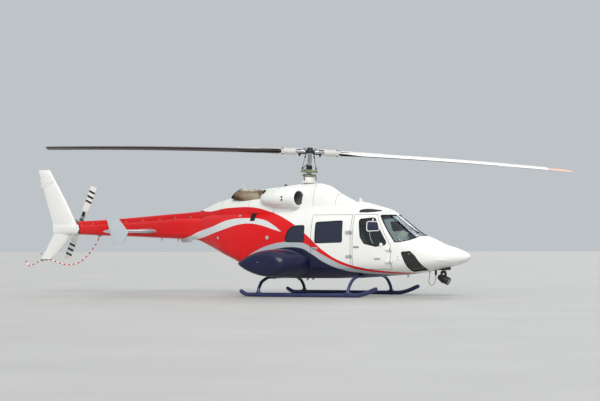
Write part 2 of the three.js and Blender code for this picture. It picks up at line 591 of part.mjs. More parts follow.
function buildPylon() {
  const deeper = COWLING.map(([x, bottom, ...rest]) => [x, bottom - COWLING_HOLLOW.below, ...rest]);
  const hollow = sectionLoft(deeper, COWLING_HOLLOW.wall, COWLING_HOLLOW.aft, COWLING_HOLLOW.front);
  const shellOnly = sectionLoft(COWLING).subtract(hollow);
  const [barrel, mouth] = intakeBarrel();
  const pipeRoom = exhaustPipe(EXHAUST.radius + 0.8);
  const mastHole = cylinderAlong('z', [0, 0, 0], MAST_HOLE_RADIUS, 600, 20)
    .rotate([0, THREE.MathUtils.radToDeg(ROTOR_TILT), 0]).translate([-45, 0, 2700]);
  const cuts = [mouth, mirrored(mouth), pipeRoom, mirrored(pipeRoom), mastHole,
    ...[HULL, BOOM, SHAFT_COVER].map((table) => sectionLoft(table, -SEAT_GAP))];
  const fairing = cuts.reduce((body, cut) => body.subtract(cut), shellOnly.add(barrel).add(mirrored(barrel)));
  add('pylon_fairing', largest(fairing), 'white_paint');

  // Each pipe bends up to a mouth that slants forwards from its lower lip
  const { low, high } = EXHAUST_RIM;
  const slant = THREE.MathUtils.radToDeg(Math.atan2(high[1] - low[1], high[0] - low[0]));
  const cutter = box(-900, 900, -800, 800, 0, 900).rotate([0, -slant, 0]).translate([low[0], 0, low[1]]);
  const [[frontX, frontZ], ...onwards] = EXHAUST_LINE;
  const bore = exhaustPipe(EXHAUST.radius - EXHAUST.wall, [[frontX - EXHAUST.closedEnd, frontZ], ...onwards]);
  const pipe = exhaustPipe(EXHAUST.radius).subtract(bore).subtract(cutter);
  both.forEach(([side, place]) => add(`exhaust_${side}`, place(largest(pipe)), 'heat_tinted_steel'));

  const mastFoot = ROTOR_HEIGHT + MAST_BASE.foot * Math.cos(ROTOR_TILT)
    - MAST_BASE.radius * Math.sin(ROTOR_TILT);
  add('engine_block', box(-1000, -250, -300, 300, 2050, 2470).subtract(aroundOuter), 'dark_alloy');
  add('rotor_gearbox', box(-200, 260, -230, 230, 2050, mastFoot - TOUCH_GAP).subtract(aroundOuter),
    'dark_alloy');
}

// The largest piece of a solid that a cut may have parted
function largest(solid) {
  return solid.decompose().sort((a, b) => b.volume() - a.volume())[0];
}

// Main rotor, in a group whose +Z is the mast and whose origin is the hub centre

function buildMainRotor() {
  const rotor = new THREE.Group();
  rotor.position.set(0, 0, ROTOR_HEIGHT);
  rotor.rotation.y = ROTOR_TILT;
  helicopter.add(rotor);

  const base = turned([[62, MAST_BASE.foot], [MAST_BASE.radius, MAST_BASE.foot], [MAST_BASE.radius, -752],
    [205, -738], [205, -712], [130, -690], [118, -600], [178, -590], [178, -545], [62, -530],
    [62, MAST_BASE.foot]], 24);
  add('mast_base', base, 'machined_alloy', rotor);

  const blades = new THREE.Group();
  blades.rotation.z = BLADE_AZIMUTH;
  rotor.add(blades);

  const halfTurn = (solid) => solid.rotate([0, 0, 180]);
  const twice = (solid) => solid.add(halfTurn(solid));
  const mast = turned([[0, -930], [52, -930], [52, -430], [78, -420], [78, -320], [50, -310], [50, 40],
    [70, 40], [70, 110], [34, 120], [0, 120]], 20);
  const swash = turned([[0, -520], [50, -520], [200, -500], [200, -455], [50, -430], [0, -430]], 20);
  const yoke = box(-350, 350, -95, 95, -34, 34).add(cylinderAlong('z', [0, 0, 0], 150, 90, 16));
  const bolt = cylinderAlong('z', [668, 52, 0], 18, 236, 10);
  const grip = cylinderAlong('x', [515, 0, 0], 80, 360, 14, 74).add(box(640, 700, -90, 90, -62, 62))
    .add(bolt).add(bolt.translate([0, -104, 0]));
  const lug = box(118, 150, -70, 70, 20, 118).add(box(-150, -118, -70, 70, 20, 118));
  const horn = box(150, 260, 60, 215, -58, -18);
  const link = tubeAlong([[190, 190, -480], [197, 190, -300], [205, 190, -40]], 14, 8, 2);
  const hub = mast.add(swash).add(yoke).add(twice(grip)).add(lug).add(twice(horn)).add(twice(link))
    .add(twice(box(150, 215, 150, 215, -500, -456)));
  add('main_rotor_hub', hub, 'machined_alloy', blades);

  // Blade stations: radius, leading y, trailing y, thickness
  const stations = [[BLADE_ROOT_R + 2, 78, -78, 92], [930, 110, -170, 92], [1300, 175, -525, 88],
    [3600, 175, -525, 74], [ROTOR_RADIUS - 60, 175, -525, 60], [ROTOR_RADIUS, 150, -505, 40]];
  const droop = (r) => -BLADE_DROOP * (r / ROTOR_RADIUS) ** 2;
  const pitched = (r, y, z) => [
    r,
    y * Math.cos(BLADE_PITCH) - z * Math.sin(BLADE_PITCH),
    droop(r) + y * Math.sin(BLADE_PITCH) + z * Math.cos(BLADE_PITCH),
  ];
  const bladeRings = stations.map(([r, leading, trailing, thickness]) =>
    foilRing((y, z) => pitched(r, y, z), leading, trailing, thickness, 6));
  const blade = loft(bladeRings);
  add('main_blade_1', blade, 'blade_skin', blades);
  add('main_blade_2', halfTurn(blade), 'blade_skin', blades);
}

// Tail rotor, in a group at its hub whose +Z runs along one blade

function buildTailRotor() {
  const rotor = new THREE.Group();
  rotor.position.set(TAIL_ROTOR.x, TAIL_ROTOR.y, TAIL_ROTOR.z);
  rotor.rotation.y = TAIL_BLADE_LEAN;
  helicopter.add(rotor);
  const hub = cylinderAlong('y', [0, -5, 0], 38, 120, 16).add(box(-48, 48, -26, 26, -200, 200))
    .add(cylinderAlong('y', [0, 40, 0], 60, 30, 16));
  add('tail_rotor_hub', hub, 'machined_alloy', rotor);
  // Blade stations: distance out, leading x, trailing x, thickness
  const stations = [[200.4, 42, -42, 44], [420, 95, -95, 32], [TAIL_ROTOR.radius, 95, -95, 20]];
  const blade = loft(stations.map(([r, leading, trailing, thickness]) =>
    foilRing((x, y) => [x, y, r], leading, trailing, thickness, 5)));
  add('tail_blade_1', blade, 'blade_skin', rotor);
  add('tail_blade_2', blade.rotate([0, 180, 0]), 'blade_skin', rotor);
}

// Cabin furniture

function seatSolid(x, y, width) {
  const half = width / 2;
  const cushion = sidePrism([[x - 40, FLOOR_Z + 1], [x + 430, FLOOR_Z + 1], [x + 470, FLOOR_Z + 300],
    [x + 60, FLOOR_Z + 270], [x - 70, FLOOR_Z + 900], [x - 170, FLOOR_Z + 900], [x - 60, FLOOR_Z + 240]],
  y - half, y + half);
  return cushion;
}

function buildFurniture() {
  both.forEach(([side, place]) => add(`crew_seat_${side}`, place(seatSolid(1560, -360, 440)), 'seat_cloth'));
  add('cabin_bench', seatSolid(-800, 0, 1220), 'seat_cloth');
  const panel = sidePrism([[2790, FLOOR_Z + 230], [3060, FLOOR_Z + 230], [3060, 1270], [2960, 1330], [2830, 1330]],
    -430, 430);
  const console = box(2250, 3060, -110, 110, FLOOR_Z + 1, FLOOR_Z + 232);
  add('instrument_panel', panel.add(console).intersect(sectionLoft(HULL, WALL + 12, 2000, 3300)),
    'black_plastic');
}

// Searchlight under the nose with its hanging cable

function buildSearchlight() {
  const pad = box(3300, 3665, -75, 75, 622, 720)
    .add(box(3282, 3326, -28, 28, 505, 640))
    .subtract(aroundOuter);
  add('searchlight_mount', largest(pad), 'black_plastic');

  const yoke = cylinderAlong('z', [LAMP.x, 0, 595], 62, 46, 18)
    .add(box(LAMP.x - 30, LAMP.x + 30, -128, 128, 548, 574))
    .add(box(LAMP.x - 30, LAMP.x + 30, 108, 128, LAMP.z - 32, 574))
    .add(box(LAMP.x - 30, LAMP.x + 30, -128, -108, LAMP.z - 32, 574));
  add('searchlight_yoke', yoke, 'black_plastic');

  const lampGroup = new THREE.Group();
  lampGroup.position.set(LAMP.x, 0, LAMP.z);
  lampGroup.rotation.y = LAMP.pitch;
  helicopter.add(lampGroup);
  const lamp = turned([[0, -LAMP.half], [58, -LAMP.half], [LAMP.radius - 10, -60], [LAMP.radius, 0],
    [LAMP.radius, LAMP.half - 14], [LAMP.radius - 8, LAMP.half], [LAMP.radius - 14, LAMP.half],
    [LAMP.radius - 14, LAMP.half - 20], [0, LAMP.half - 30]], 20).rotate([0, 90, 0]);
  add('searchlight_lamp', lamp, 'black_plastic', lampGroup);

  const cable = tubeAlong(CABLE_ROUTE, CABLE_RADIUS, 8, 30);
  add('searchlight_cable', cable, 'cable_rubber');
}

buildCabin();
buildDoors();
buildBody();
buildTail();
buildSponsons();
buildSkids();
buildPylon();
buildMainRotor();
buildTailRotor();
buildFurniture();
buildSearchlight();

export default helicopter;
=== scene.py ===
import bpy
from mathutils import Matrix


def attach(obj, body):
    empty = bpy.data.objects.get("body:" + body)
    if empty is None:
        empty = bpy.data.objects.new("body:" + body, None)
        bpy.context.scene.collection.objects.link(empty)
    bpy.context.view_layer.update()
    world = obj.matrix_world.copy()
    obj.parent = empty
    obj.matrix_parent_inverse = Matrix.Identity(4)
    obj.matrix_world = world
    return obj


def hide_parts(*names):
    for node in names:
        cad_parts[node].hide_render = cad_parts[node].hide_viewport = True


bl_info = {
    "name": "Light twin-turbine helicopter",
    "version": (1, 0, 0),
    "blender": (4, 5, 0),
    "location": "View3D > Sidebar > Helicopter",
    "description": "Paints, glazes and furnishes a light helicopter parked on its skids",
    "category": "Object",
}

from functools import partial
from math import acos, atan2, ceil, copysign, cos, pi, radians, sin, tan

import bmesh
import bpy
import numpy as np
from bpy.props import FloatProperty, PointerProperty, StringProperty
from bpy.types import Operator
from mathutils import Matrix, Vector
from numpy.linalg import norm

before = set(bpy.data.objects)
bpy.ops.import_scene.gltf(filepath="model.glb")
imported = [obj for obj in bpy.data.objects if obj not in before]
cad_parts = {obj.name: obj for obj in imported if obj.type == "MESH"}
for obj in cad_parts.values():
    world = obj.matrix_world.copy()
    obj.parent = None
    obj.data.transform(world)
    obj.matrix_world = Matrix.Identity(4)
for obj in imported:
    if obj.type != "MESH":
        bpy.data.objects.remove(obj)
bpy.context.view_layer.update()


def mm(text):
    """Rows of numbers in metres from text in millimetres, where a comma ends a row."""
    return [tuple(float(word) / 1000 for word in row.split()) for row in text.split(",")]


def rows_of(table):
    return mm(table) if isinstance(table, str) else table


def rotation(angle, axis):
    return Matrix.Rotation(angle, 3, axis)


# What a cut does to a mesh: it takes a tool's room off, keeps only that or adds it
OFF, KEEP, ADD = "DIFFERENCE", "INTERSECT", "UNION"

# Places are in metres from the ground below the main rotor's hub: +X to the nose, +Y to port,
# +Z up. The part's own origin is under the middle of its box, this far from the rotor's.
ROTOR_X = 1.27202
SIDES = (("right", -1), ("left", 1))

# Stations of the body: x, belly z, top z, half width, z of greatest width, upper and lower power
HULL_STATIONS = [
    (-2.950, 1.300, 1.930, 0.285, 1.640, 2.8, 2.8),
    (-2.800, 1.236, 2.000, 0.335, 1.610, 2.8, 2.9),
    (-2.500, 1.114, 2.060, 0.470, 1.500, 2.7, 3.2),
    (-2.150, 0.968, 2.090, 0.630, 1.350, 2.6, 3.5),
    (-1.880, 0.860, 2.120, 0.700, 1.260, 2.6, 3.6),
    (-1.540, 0.695, 2.150, 0.755, 1.170, 2.6, 3.6),
    (-1.250, 0.552, 2.172, 0.772, 1.120, 2.6, 3.4),
    (-0.980, 0.430, 2.190, 0.785, 1.100, 2.6, 3.2),
    (-0.300, 0.420, 2.210, 0.790, 1.080, 2.6, 3.2),
    (0.790, 0.422, 2.260, 0.790, 1.080, 2.6, 3.2),
    (1.360, 0.445, 2.262, 0.790, 1.070, 2.6, 3.2),
    (1.850, 0.470, 2.151, 0.790, 1.050, 2.6, 3.1),
    (2.090, 0.482, 2.082, 0.786, 1.035, 2.6, 3.0),
    (2.360, 0.500, 1.909, 0.772, 1.015, 2.8, 2.9),
    (2.560, 0.516, 1.756, 0.754, 1.000, 2.8, 2.8),
    (2.760, 0.535, 1.594, 0.730, 0.985, 2.8, 2.7),
    (2.950, 0.558, 1.466, 0.700, 0.968, 2.8, 2.6),
    (3.130, 0.585, 1.403, 0.665, 0.955, 2.6, 2.5),
    (3.510, 0.665, 1.239, 0.550, 0.940, 2.3, 2.4),
    (3.800, 0.730, 1.152, 0.420, 0.935, 2.2, 2.3),
    (4.020, 0.790, 1.070, 0.270, 0.935, 2.1, 2.2),
    (4.140, 0.850, 1.010, 0.150, 0.935, 2.0, 2.1),
    (4.190, 0.905, 0.970, 0.060, 0.938, 2.0, 2.0),
]
BOOM_STATIONS = [
    (-6.670, 1.520, 1.765, 0.160, 1.640, 2.8, 2.8),
    (-6.060, 1.490, 1.785, 0.180, 1.640, 2.8, 2.8),
    (-5.150, 1.460, 1.830, 0.208, 1.640, 2.8, 2.8),
    (-4.200, 1.415, 1.885, 0.238, 1.640, 2.8, 2.8),
    (-3.400, 1.375, 1.930, 0.268, 1.640, 2.8, 2.8),
    (-3.080, 1.352, 1.930, 0.279, 1.640, 2.8, 2.8),
    (-2.950, 1.300, 1.930, 0.285, 1.640, 2.8, 2.8),
]
SHAFT_COVER_STATIONS = [
    (-6.660, 1.700, 1.860, 0.095, 1.730, 3.2, 3.0),
    (-6.060, 1.720, 1.880, 0.100, 1.750, 3.2, 3.0),
    (-5.150, 1.760, 1.930, 0.105, 1.790, 3.2, 3.0),
    (-3.970, 1.840, 2.012, 0.112, 1.870, 3.2, 3.0),
    (-3.380, 1.870, 2.050, 0.118, 1.900, 3.2, 3.0),
    (-3.080, 1.880, 2.075, 0.125, 1.910, 3.0, 3.0),
]
COWLING_STATIONS = [
    (-3.070, 1.880, 2.080, 0.125, 1.950, 2.8, 3.0),
    (-2.750, 1.900, 2.210, 0.235, 1.960, 2.6, 3.0),
    (-2.530, 1.920, 2.305, 0.305, 1.970, 2.5, 3.0),
    (-2.200, 1.940, 2.385, 0.395, 1.985, 2.5, 3.0),
    (-1.700, 1.960, 2.500, 0.490, 2.000, 2.5, 3.0),
    (-1.160, 1.980, 2.610, 0.545, 2.020, 2.5, 3.0),
    (-0.690, 1.990, 2.660, 0.550, 2.040, 2.5, 3.0),
    (-0.060, 2.000, 2.720, 0.480, 2.060, 2.5, 3.0),
    (0.180, 2.010, 2.725, 0.420, 2.070, 2.5, 3.0),
    (0.470, 2.020, 2.681, 0.385, 2.080, 2.4, 3.0),
    (0.860, 2.040, 2.450, 0.345, 2.090, 2.4, 3.0),
    (1.050, 2.050, 2.350, 0.318, 2.095, 2.4, 3.0),
    (1.230, 2.060, 2.262, 0.290, 2.100, 2.4, 3.0),
]

# Openings as corners in x and z (x and y for the roof panes), with the radius of their corners
CREW_DOOR = mm("1500 660, 2470 660, 2470 1215, 2035 1945, 1500 1945")
CABIN_DOOR = mm("400 660, 1440 660, 1440 1945, 400 1945")
CREW_WINDOW = mm(
    "1800 1265, 2110 1195, 2340 1232, 2365 1285, 2030 1840, 1975 1868, 1665 1840, 1640 1790, 1700 1420")
CABIN_WINDOW = mm("505 1280, 1222 1300, 1205 1805, 505 1772")
QUARTER_WINDOW = mm("-290 1312, 208 1305, 200 1702, -20 1695, -150 1655, -235 1570, -285 1440")
WINDSHIELD = mm(
    "2128 1918, 2573 1298, 2682 1302, 2796 1322, 2905 1350, 2990 1390, 3010 1425, 3080 1520, 2700 2000, "
    "2400 1931, 2138 1931")
CENTRE_POST_HALF = 0.06
CHIN_WINDOW = mm("2735 1060, 2850 740, 2920 600, 3265 640, 3060 960, 2945 1072")
SKYLIGHT = mm("1590 562, 1773 522, 1950 460, 2068 372, 2070 345, 1965 380, 1815 418, 1695 470, 1600 522")

FLOOR_Z = 0.74
WALL = 0.045
DOOR_THICKNESS = 0.038
DOOR_LIP = 0.018
DOOR_STEP = 0.016
DOOR_GAP = 0.009
PANE_DEPTH = 0.01
PANE_THICKNESS = 0.008
SEAL_PROUD = 0.0015
# Between two pieces that would touch, and the ends of the body's hollow
TOUCH_GAP = 0.0004
HOLLOW_ENDS = (-2.89, 3.5)

# The cable's middle line, from its gland in the belly to the searchlight's mount
CABLE_ROUTE = mm(
    "3150 0 567.6, 3149 0 545, 3143 0 500, 3132 0 445, 3123 0 390, 3124 0 340, 3140 0 298, 3170 0 272, "
    "3206 0 266, 3240 0 282, 3266 0 318, 3284 0 365, 3297 0 415, 3303 0 465, 3304 0 504.6")
CABLE_DIAMETER = 0.012

# Livery lines on the body as x and z, chosen along each edge of colour
LIVERY_LINES = {
    "red_top": mm(
        "-3050 2300, -2900 2090, -2000 2150, -1270 2150, -850 2052, -292 1838, 223 1512, 792 1055, "
        "1239 826, 1716 691, 2308 608, 2950 560"),
    "red_foot": mm(
        "-2600 20, -2000 300, -1750 660, -1620 800, -1406 916, -1073 1103, -703 1240, -287 1309, 178 1283, "
        "486 1122, 791 962, 1231 757, 1696 632, 2300 560, 2950 520"),
    "silver_foot": mm(
        "-2600 10, -1900 200, -1650 550, -1500 700, -1340 820, -1074 1009, -651 1124, 76 1168, 435 1007, "
        "734 826, 1205 642, 1700 560, 2300 520, 2950 500"),
    "streak_top": mm(
        "-3700 1360, -3300 1440, -2942 1575, -2475 1690, -1944 1855, -1453 1892, -935 1846, -669 1730, "
        "-408 1552"),
    "streak_foot": mm(
        "-3700 1360, -3300 1350, -2892 1411, -2450 1520, -2027 1632, -1651 1732, -1296 1759, -902 1693, "
        "-652 1616, -408 1552"),
}

# The camera, fitted to the photograph
CAMERA_PLACE = (21.995, -43.681, 1.579)
CAMERA_YAW = 0.471575
CAMERA_PITCH = 0.014961
CAMERA_ROLL = 0.006954
CAMERA_LENS = 120.53


# Colour and node helpers


def linear(colour):
    """A linear RGBA colour from an sRGB hex string."""
    channels = [int(colour[i:i + 2], 16) / 255 for i in (1, 3, 5)]
    return tuple(c / 12.92 if c <= 0.04045 else ((c + 0.055) / 1.055) ** 2.4 for c in channels) + (1.0,)


def add_node(tree, kind, inputs=(), output=0, **settings):
    """Adds a node and gives the output asked for. An input is a number, a hex colour or another
    node's output, and inputs given in a row fill the sockets from the first on."""
    made = tree.nodes.new(kind)
    for key, value in settings.items():
        setattr(made, key, value)
    for key, value in inputs.items() if isinstance(inputs, dict) else enumerate(inputs):
        if isinstance(value, bpy.types.NodeSocket):
            tree.links.new(value, made.inputs[key])
        else:
            is_colour = isinstance(value, str) and value.startswith("#")
            made.inputs[key].default_value = linear(value) if is_colour else value
    return made.outputs[output] if len(made.outputs) else made


def new_material(name):
    """A material, add_node on its tree, and the place of each point on the object, in metres."""
    material = bpy.data.materials.new(name)
    material.use_nodes = True
    material.node_tree.nodes.clear()
    node = partial(add_node, material.node_tree)
    return material, node, node("ShaderNodeTexCoord", output="Object")


def show(node, shader, inputs):
    """Ends a material's tree in a shader with those inputs."""
    node("ShaderNodeOutputMaterial", {"Surface": node(shader, inputs)})


# Materials


def livery_line(node, x, name):
    """The height of a livery line at each point's x, as a curve through the line's points."""
    line = LIVERY_LINES[name]
    first, last = line[0][0], line[-1][0]
    low, high = 0.0, 2.4
    position = node("ShaderNodeMapRange", (x, first + ROTOR_X, last + ROTOR_X, 0.0, 1.0))
    height = node("ShaderNodeFloatCurve", {"Value": position})
    curve = height.node.mapping
    points = curve.curves[0].points
    places = [((px - first) / (last - first), (pz - low) / (high - low)) for px, pz in line]
    while len(points) < len(places):
        points.new(0.5, 0.5)
    for point, place in zip(points, places):
        point.location = place
        point.handle_type = "AUTO"
    curve.update()
    return node("ShaderNodeMapRange", (height, 0.0, 1.0, low, high))


def livery_paint():
    """Gloss polyurethane over aluminium: a clear wet shine, faint orange peel, road-grey dust
    low down and a brown haze of soot behind the exhausts."""
    colours = bpy.context.scene.helicopter_livery
    material, node, place = new_material("gloss_livery_paint")
    axes = node("ShaderNodeSeparateXYZ", (place,)).node
    x, z = axes.outputs["X"], axes.outputs["Z"]
    under = {}
    for name in LIVERY_LINES:
        gap = node("ShaderNodeMath", (livery_line(node, x, name), z), operation="SUBTRACT")
        under[name] = node("ShaderNodeMapRange", (gap, -0.004, 0.004, 0.0, 1.0))
    streak = node("ShaderNodeMath", (under["streak_top"], under["streak_foot"]), operation="SUBTRACT")
    aft = node("ShaderNodeMath", (x, LIVERY_LINES["streak_top"][-1][0] + ROTOR_X), operation="LESS_THAN")
    swoosh = node("ShaderNodeMath", (streak, aft), operation="MULTIPLY", use_clamp=True)
    colour = colours.white
    for share, tint in ((under["red_top"], colours.red), (swoosh, colours.swoosh),
                        (under["red_foot"], colours.silver), (under["silver_foot"], colours.navy)):
        colour = node("ShaderNodeMix", {0: share, 6: colour, 7: tint}, 2, data_type="RGBA")
    patches = node("ShaderNodeTexNoise", {"Vector": place, "Scale": 1 / 0.9, "Detail": 4.0})
    speckle = node("ShaderNodeTexNoise", {"Vector": place, "Scale": 1 / 0.12, "Detail": 6.0})
    low_down = node("ShaderNodeMapRange", (z, 0.42, 0.62, 0.14, 0.0))
    dust = node("ShaderNodeMath", (low_down, speckle), operation="MULTIPLY")
    behind = node("ShaderNodeMapRange", (x, -1.75 + ROTOR_X, -3.1 + ROTOR_X, 0.0, 0.3))
    high_up = node("ShaderNodeMapRange", (z, 2.05, 2.45, 0.0, 1.0))
    haze = node("ShaderNodeMath", (behind, high_up), operation="MULTIPLY")
    haze = node("ShaderNodeMath", (haze, speckle), operation="MULTIPLY")
    faded = node("ShaderNodeMapRange", (patches, 0.35, 0.75, 0.0, 0.05))
    for share, tint in ((faded, "#8f8a80"), (dust, "#6c6558"), (haze, "#4a3d30")):
        colour = node("ShaderNodeMix", {0: share, 6: colour, 7: tint}, 2, data_type="RGBA")
    peel = node("ShaderNodeTexNoise", {"Vector": place, "Scale": 1 / 0.012, "Detail": 1.0})
    show(node, "ShaderNodeBsdfPrincipled", {
        "Base Color": colour, "Roughness": node("ShaderNodeMapRange", (patches, 0.3, 0.7, 0.26, 0.38)),
        "IOR": 1.45, "Specular IOR Level": 0.35, "Coat Weight": 0.12, "Coat Roughness": 0.08, "Coat IOR": 1.5,
        "Normal": node("ShaderNodeBump", {"Height": peel, "Distance": 0.00015, "Strength": 0.4})})
    return material


def sprayed(name, colour, deeper, roughness=0.3, coat=0.25, metal=0.0):
    """Sprayed gloss or satin paint with faint blotches and fine scuffs."""
    material, node, place = new_material(name)
    patches = node("ShaderNodeTexNoise", {"Vector": place, "Scale": 1 / 0.35, "Detail": 4.0})
    scuffs = node("ShaderNodeTexNoise", {"Vector": place, "Scale": 1 / 0.02, "Detail": 6.0, "Roughness": 0.7})
    peel = node("ShaderNodeTexNoise", {"Vector": place, "Scale": 1 / 0.012, "Detail": 1.0})
    tone = colour
    for source, low, high, most in ((patches, 0.35, 0.75, 0.35), (scuffs, 0.62, 0.8, 0.25)):
        share = node("ShaderNodeMapRange", (source, low, high, 0.0, most))
        tone = node("ShaderNodeMix", {0: share, 6: tone, 7: deeper}, 2, data_type="RGBA")
    rough = node("ShaderNodeMapRange", (scuffs, 0.3, 0.8, roughness * 0.85, roughness * 1.3))
    show(node, "ShaderNodeBsdfPrincipled", {
        "Base Color": tone, "Roughness": rough, "Metallic": metal, "IOR": 1.45, "Coat Weight": coat,
        "Coat Roughness": 0.06,
        "Normal": node("ShaderNodeBump", {"Height": peel, "Distance": 0.00012, "Strength": 0.4})})
    return material


def bare_metal(name, colour, deeper, roughness=0.35, metal=1.0):
    """Machined or cast metal: a 4 mm grain, darker in patches where oil and dust hold."""
    material, node, place = new_material(name)
    patches = node("ShaderNodeTexNoise", {"Vector": place, "Scale": 1 / 0.06, "Detail": 4.0})
    fine = node("ShaderNodeTexNoise", {"Vector": place, "Scale": 1 / 0.004, "Detail": 3.0})
    share = node("ShaderNodeMapRange", (patches, 0.4, 0.75, 0.0, 0.7))
    tone = node("ShaderNodeMix", {0: share, 6: colour, 7: deeper}, 2, data_type="RGBA")
    rough = node("ShaderNodeMapRange", (fine, 0.3, 0.7, roughness * 0.8, roughness * 1.3))
    show(node, "ShaderNodeBsdfPrincipled", {
        "Base Color": tone, "Metallic": metal, "Roughness": rough,
        "Normal": node("ShaderNodeBump", {"Height": fine, "Distance": 0.0003, "Strength": 0.5})})
    return material


def heat_tinted_steel():
    """Exhaust steel that has been red hot: straw and brown oxide bands that darken aft, soot towards
    the mouth, a painted highlight that makes it cream on top and painted shade that makes it browner below."""
    material, node, place = new_material("heat_tinted_steel")
    axes = node("ShaderNodeSeparateXYZ", (place,)).node
    cloud = node("ShaderNodeTexNoise", {"Vector": place, "Scale": 1 / 0.12, "Detail": 4.0})
    fine = node("ShaderNodeTexNoise", {"Vector": place, "Scale": 1 / 0.006, "Detail": 3.0})
    position = node("ShaderNodeMapRange", (axes.outputs["X"], -2.02 + ROTOR_X, -1.15 + ROTOR_X, 0.0, 0.8))
    drift = node("ShaderNodeMapRange", (cloud, 0.2, 0.8, -0.12, 0.16))
    # Painted highlight and shade: this height term makes the pipe creamier on top and browner below.
    lift = node("ShaderNodeMapRange", (axes.outputs["Z"], 2.32, 2.62, -0.12, 0.14))
    total = node("ShaderNodeMath", (position, drift), operation="ADD")
    total = node("ShaderNodeMath", (total, lift), operation="ADD")
    ramp = node("ShaderNodeValToRGB", (total,))
    stops = ((0.0, "#17120f"), (0.1, "#3a2a1f"), (0.24, "#7b6450"), (0.45, "#b9a78e"), (0.7, "#cfc3ad"),
             (0.86, "#8f7660"), (1.0, "#c2b59f"))
    elements = ramp.node.color_ramp.elements
    while len(elements) < len(stops):
        elements.new(0.5)
    for element, (where, tint) in zip(elements, stops):
        element.position = where
        element.color = linear(tint)
    show(node, "ShaderNodeBsdfPrincipled", {
        "Base Color": ramp, "Metallic": 0.85,
        "Roughness": node("ShaderNodeMapRange", (fine, 0.3, 0.7, 0.36, 0.52)),
        "Normal": node("ShaderNodeBump", {"Height": fine, "Distance": 0.0004, "Strength": 0.4})})
    return material


def acrylic(name, tint, body, density):
    """Stretched acrylic: a clear or smoked pane with a hard shine and faint wiping marks."""
    material, node, place = new_material(name)
    smear = node("ShaderNodeTexNoise", {"Vector": place, "Scale": 1 / 0.05, "Detail": 5.0})
    see = node("ShaderNodeBsdfTransparent", {"Color": tint})
    solid = node("ShaderNodeBsdfPrincipled", {"Base Color": body, "Roughness": 0.2, "IOR": 1.49})
    gloss = node("ShaderNodeBsdfGlossy", {
        "Color": "#eef4fa", "Roughness": node("ShaderNodeMapRange", (smear, 0.3, 0.8, 0.02, 0.07))})
    mixed = node("ShaderNodeMixShader", (density, see, solid))
    facing = node("ShaderNodeLayerWeight", {"Blend": 0.5}, "Facing")
    grazing = node("ShaderNodeMath", (facing, 5.0), operation="POWER")
    edge = node("ShaderNodeMapRange", (grazing, 0.0, 1.0, 0.04, 0.9))
    show(node, "ShaderNodeMixShader", (edge, mixed, gloss))
    return material


def moulded(name, colour, lighter, roughness=0.5):
    """Moulded or rubber surface with a leather-like grain about 2 mm across."""
    material, node, place = new_material(name)
    grain = node("ShaderNodeTexVoronoi", {"Vector": place, "Scale": 450.0})
    patches = node("ShaderNodeTexNoise", {"Vector": place, "Scale": 1 / 0.08, "Detail": 4.0})
    share = node("ShaderNodeMapRange", (patches, 0.35, 0.75, 0.0, 0.5))
    tone = node("ShaderNodeMix", {0: share, 6: colour, 7: lighter}, 2, data_type="RGBA")
    rough = node("ShaderNodeMapRange", (patches, 0.3, 0.7, roughness, roughness + 0.15))
    show(node, "ShaderNodeBsdfPrincipled", {
        "Base Color": tone, "Roughness": rough,
        "Normal": node("ShaderNodeBump", {"Height": grain, "Distance": 0.0004, "Strength": 0.4})})
    return material


def woven(name, colour, lighter, thread=0.003):
    """Seat cloth or webbing: a plain weave, drawn about twice as coarse as real so that it shows."""
    material, node, place = new_material(name)
    axes = node("ShaderNodeSeparateXYZ", (place,)).node
    weave = None
    for axis in ("X", "Y", "Z"):
        turns = node("ShaderNodeMath", (axes.outputs[axis], pi / thread), operation="MULTIPLY")
        wave = node("ShaderNodeMath", (turns,), operation="SINE")
        wave = node("ShaderNodeMath", (wave,), operation="ABSOLUTE")
        weave = wave if weave is None else node("ShaderNodeMath", (weave, wave), operation="ADD")
    weave = node("ShaderNodeMapRange", (weave, 1.2, 2.6, 0.0, 1.0))
    worn = node("ShaderNodeTexNoise", {"Vector": place, "Scale": 1 / 0.1, "Detail": 4.0})
    faded = node("ShaderNodeMapRange", (worn, 0.4, 0.8, 0.0, 0.3))
    tone = node("ShaderNodeMix", {0: weave, 6: colour, 7: lighter}, 2, data_type="RGBA")
    tone = node("ShaderNodeMix", {0: faded, 6: tone, 7: "#14161a"}, 2, data_type="RGBA")
    show(node, "ShaderNodeBsdfPrincipled", {
        "Base Color": tone, "Roughness": 0.85, "Sheen Weight": 0.3, "Sheen Roughness": 0.5,
        "Normal": node("ShaderNodeBump", {"Height": weave, "Distance": 0.0006, "Strength": 0.6})})
    return material


def lens(name, colour, strength=0.4):
    """A moulded lens over a lamp: coloured, ribbed and a little lit from inside."""
    material, node, place = new_material(name)
    ribs = node("ShaderNodeTexWave", {"Vector": place, "Scale": 60.0}, "Fac", bands_direction="Z")
    share = node("ShaderNodeMapRange", (ribs, 0.0, 1.0, 0.0, 0.35))
    tone = node("ShaderNodeMix", {0: share, 6: colour, 7: "#ffffff"}, 2, data_type="RGBA")
    show(node, "ShaderNodeBsdfPrincipled", {
        "Base Color": tone, "Roughness": 0.12, "IOR": 1.49, "Coat Weight": 0.5, "Emission Color": colour,
        "Emission Strength": strength,
        "Normal": node("ShaderNodeBump", {"Height": ribs, "Distance": 0.001, "Strength": 0.5})})
    return material


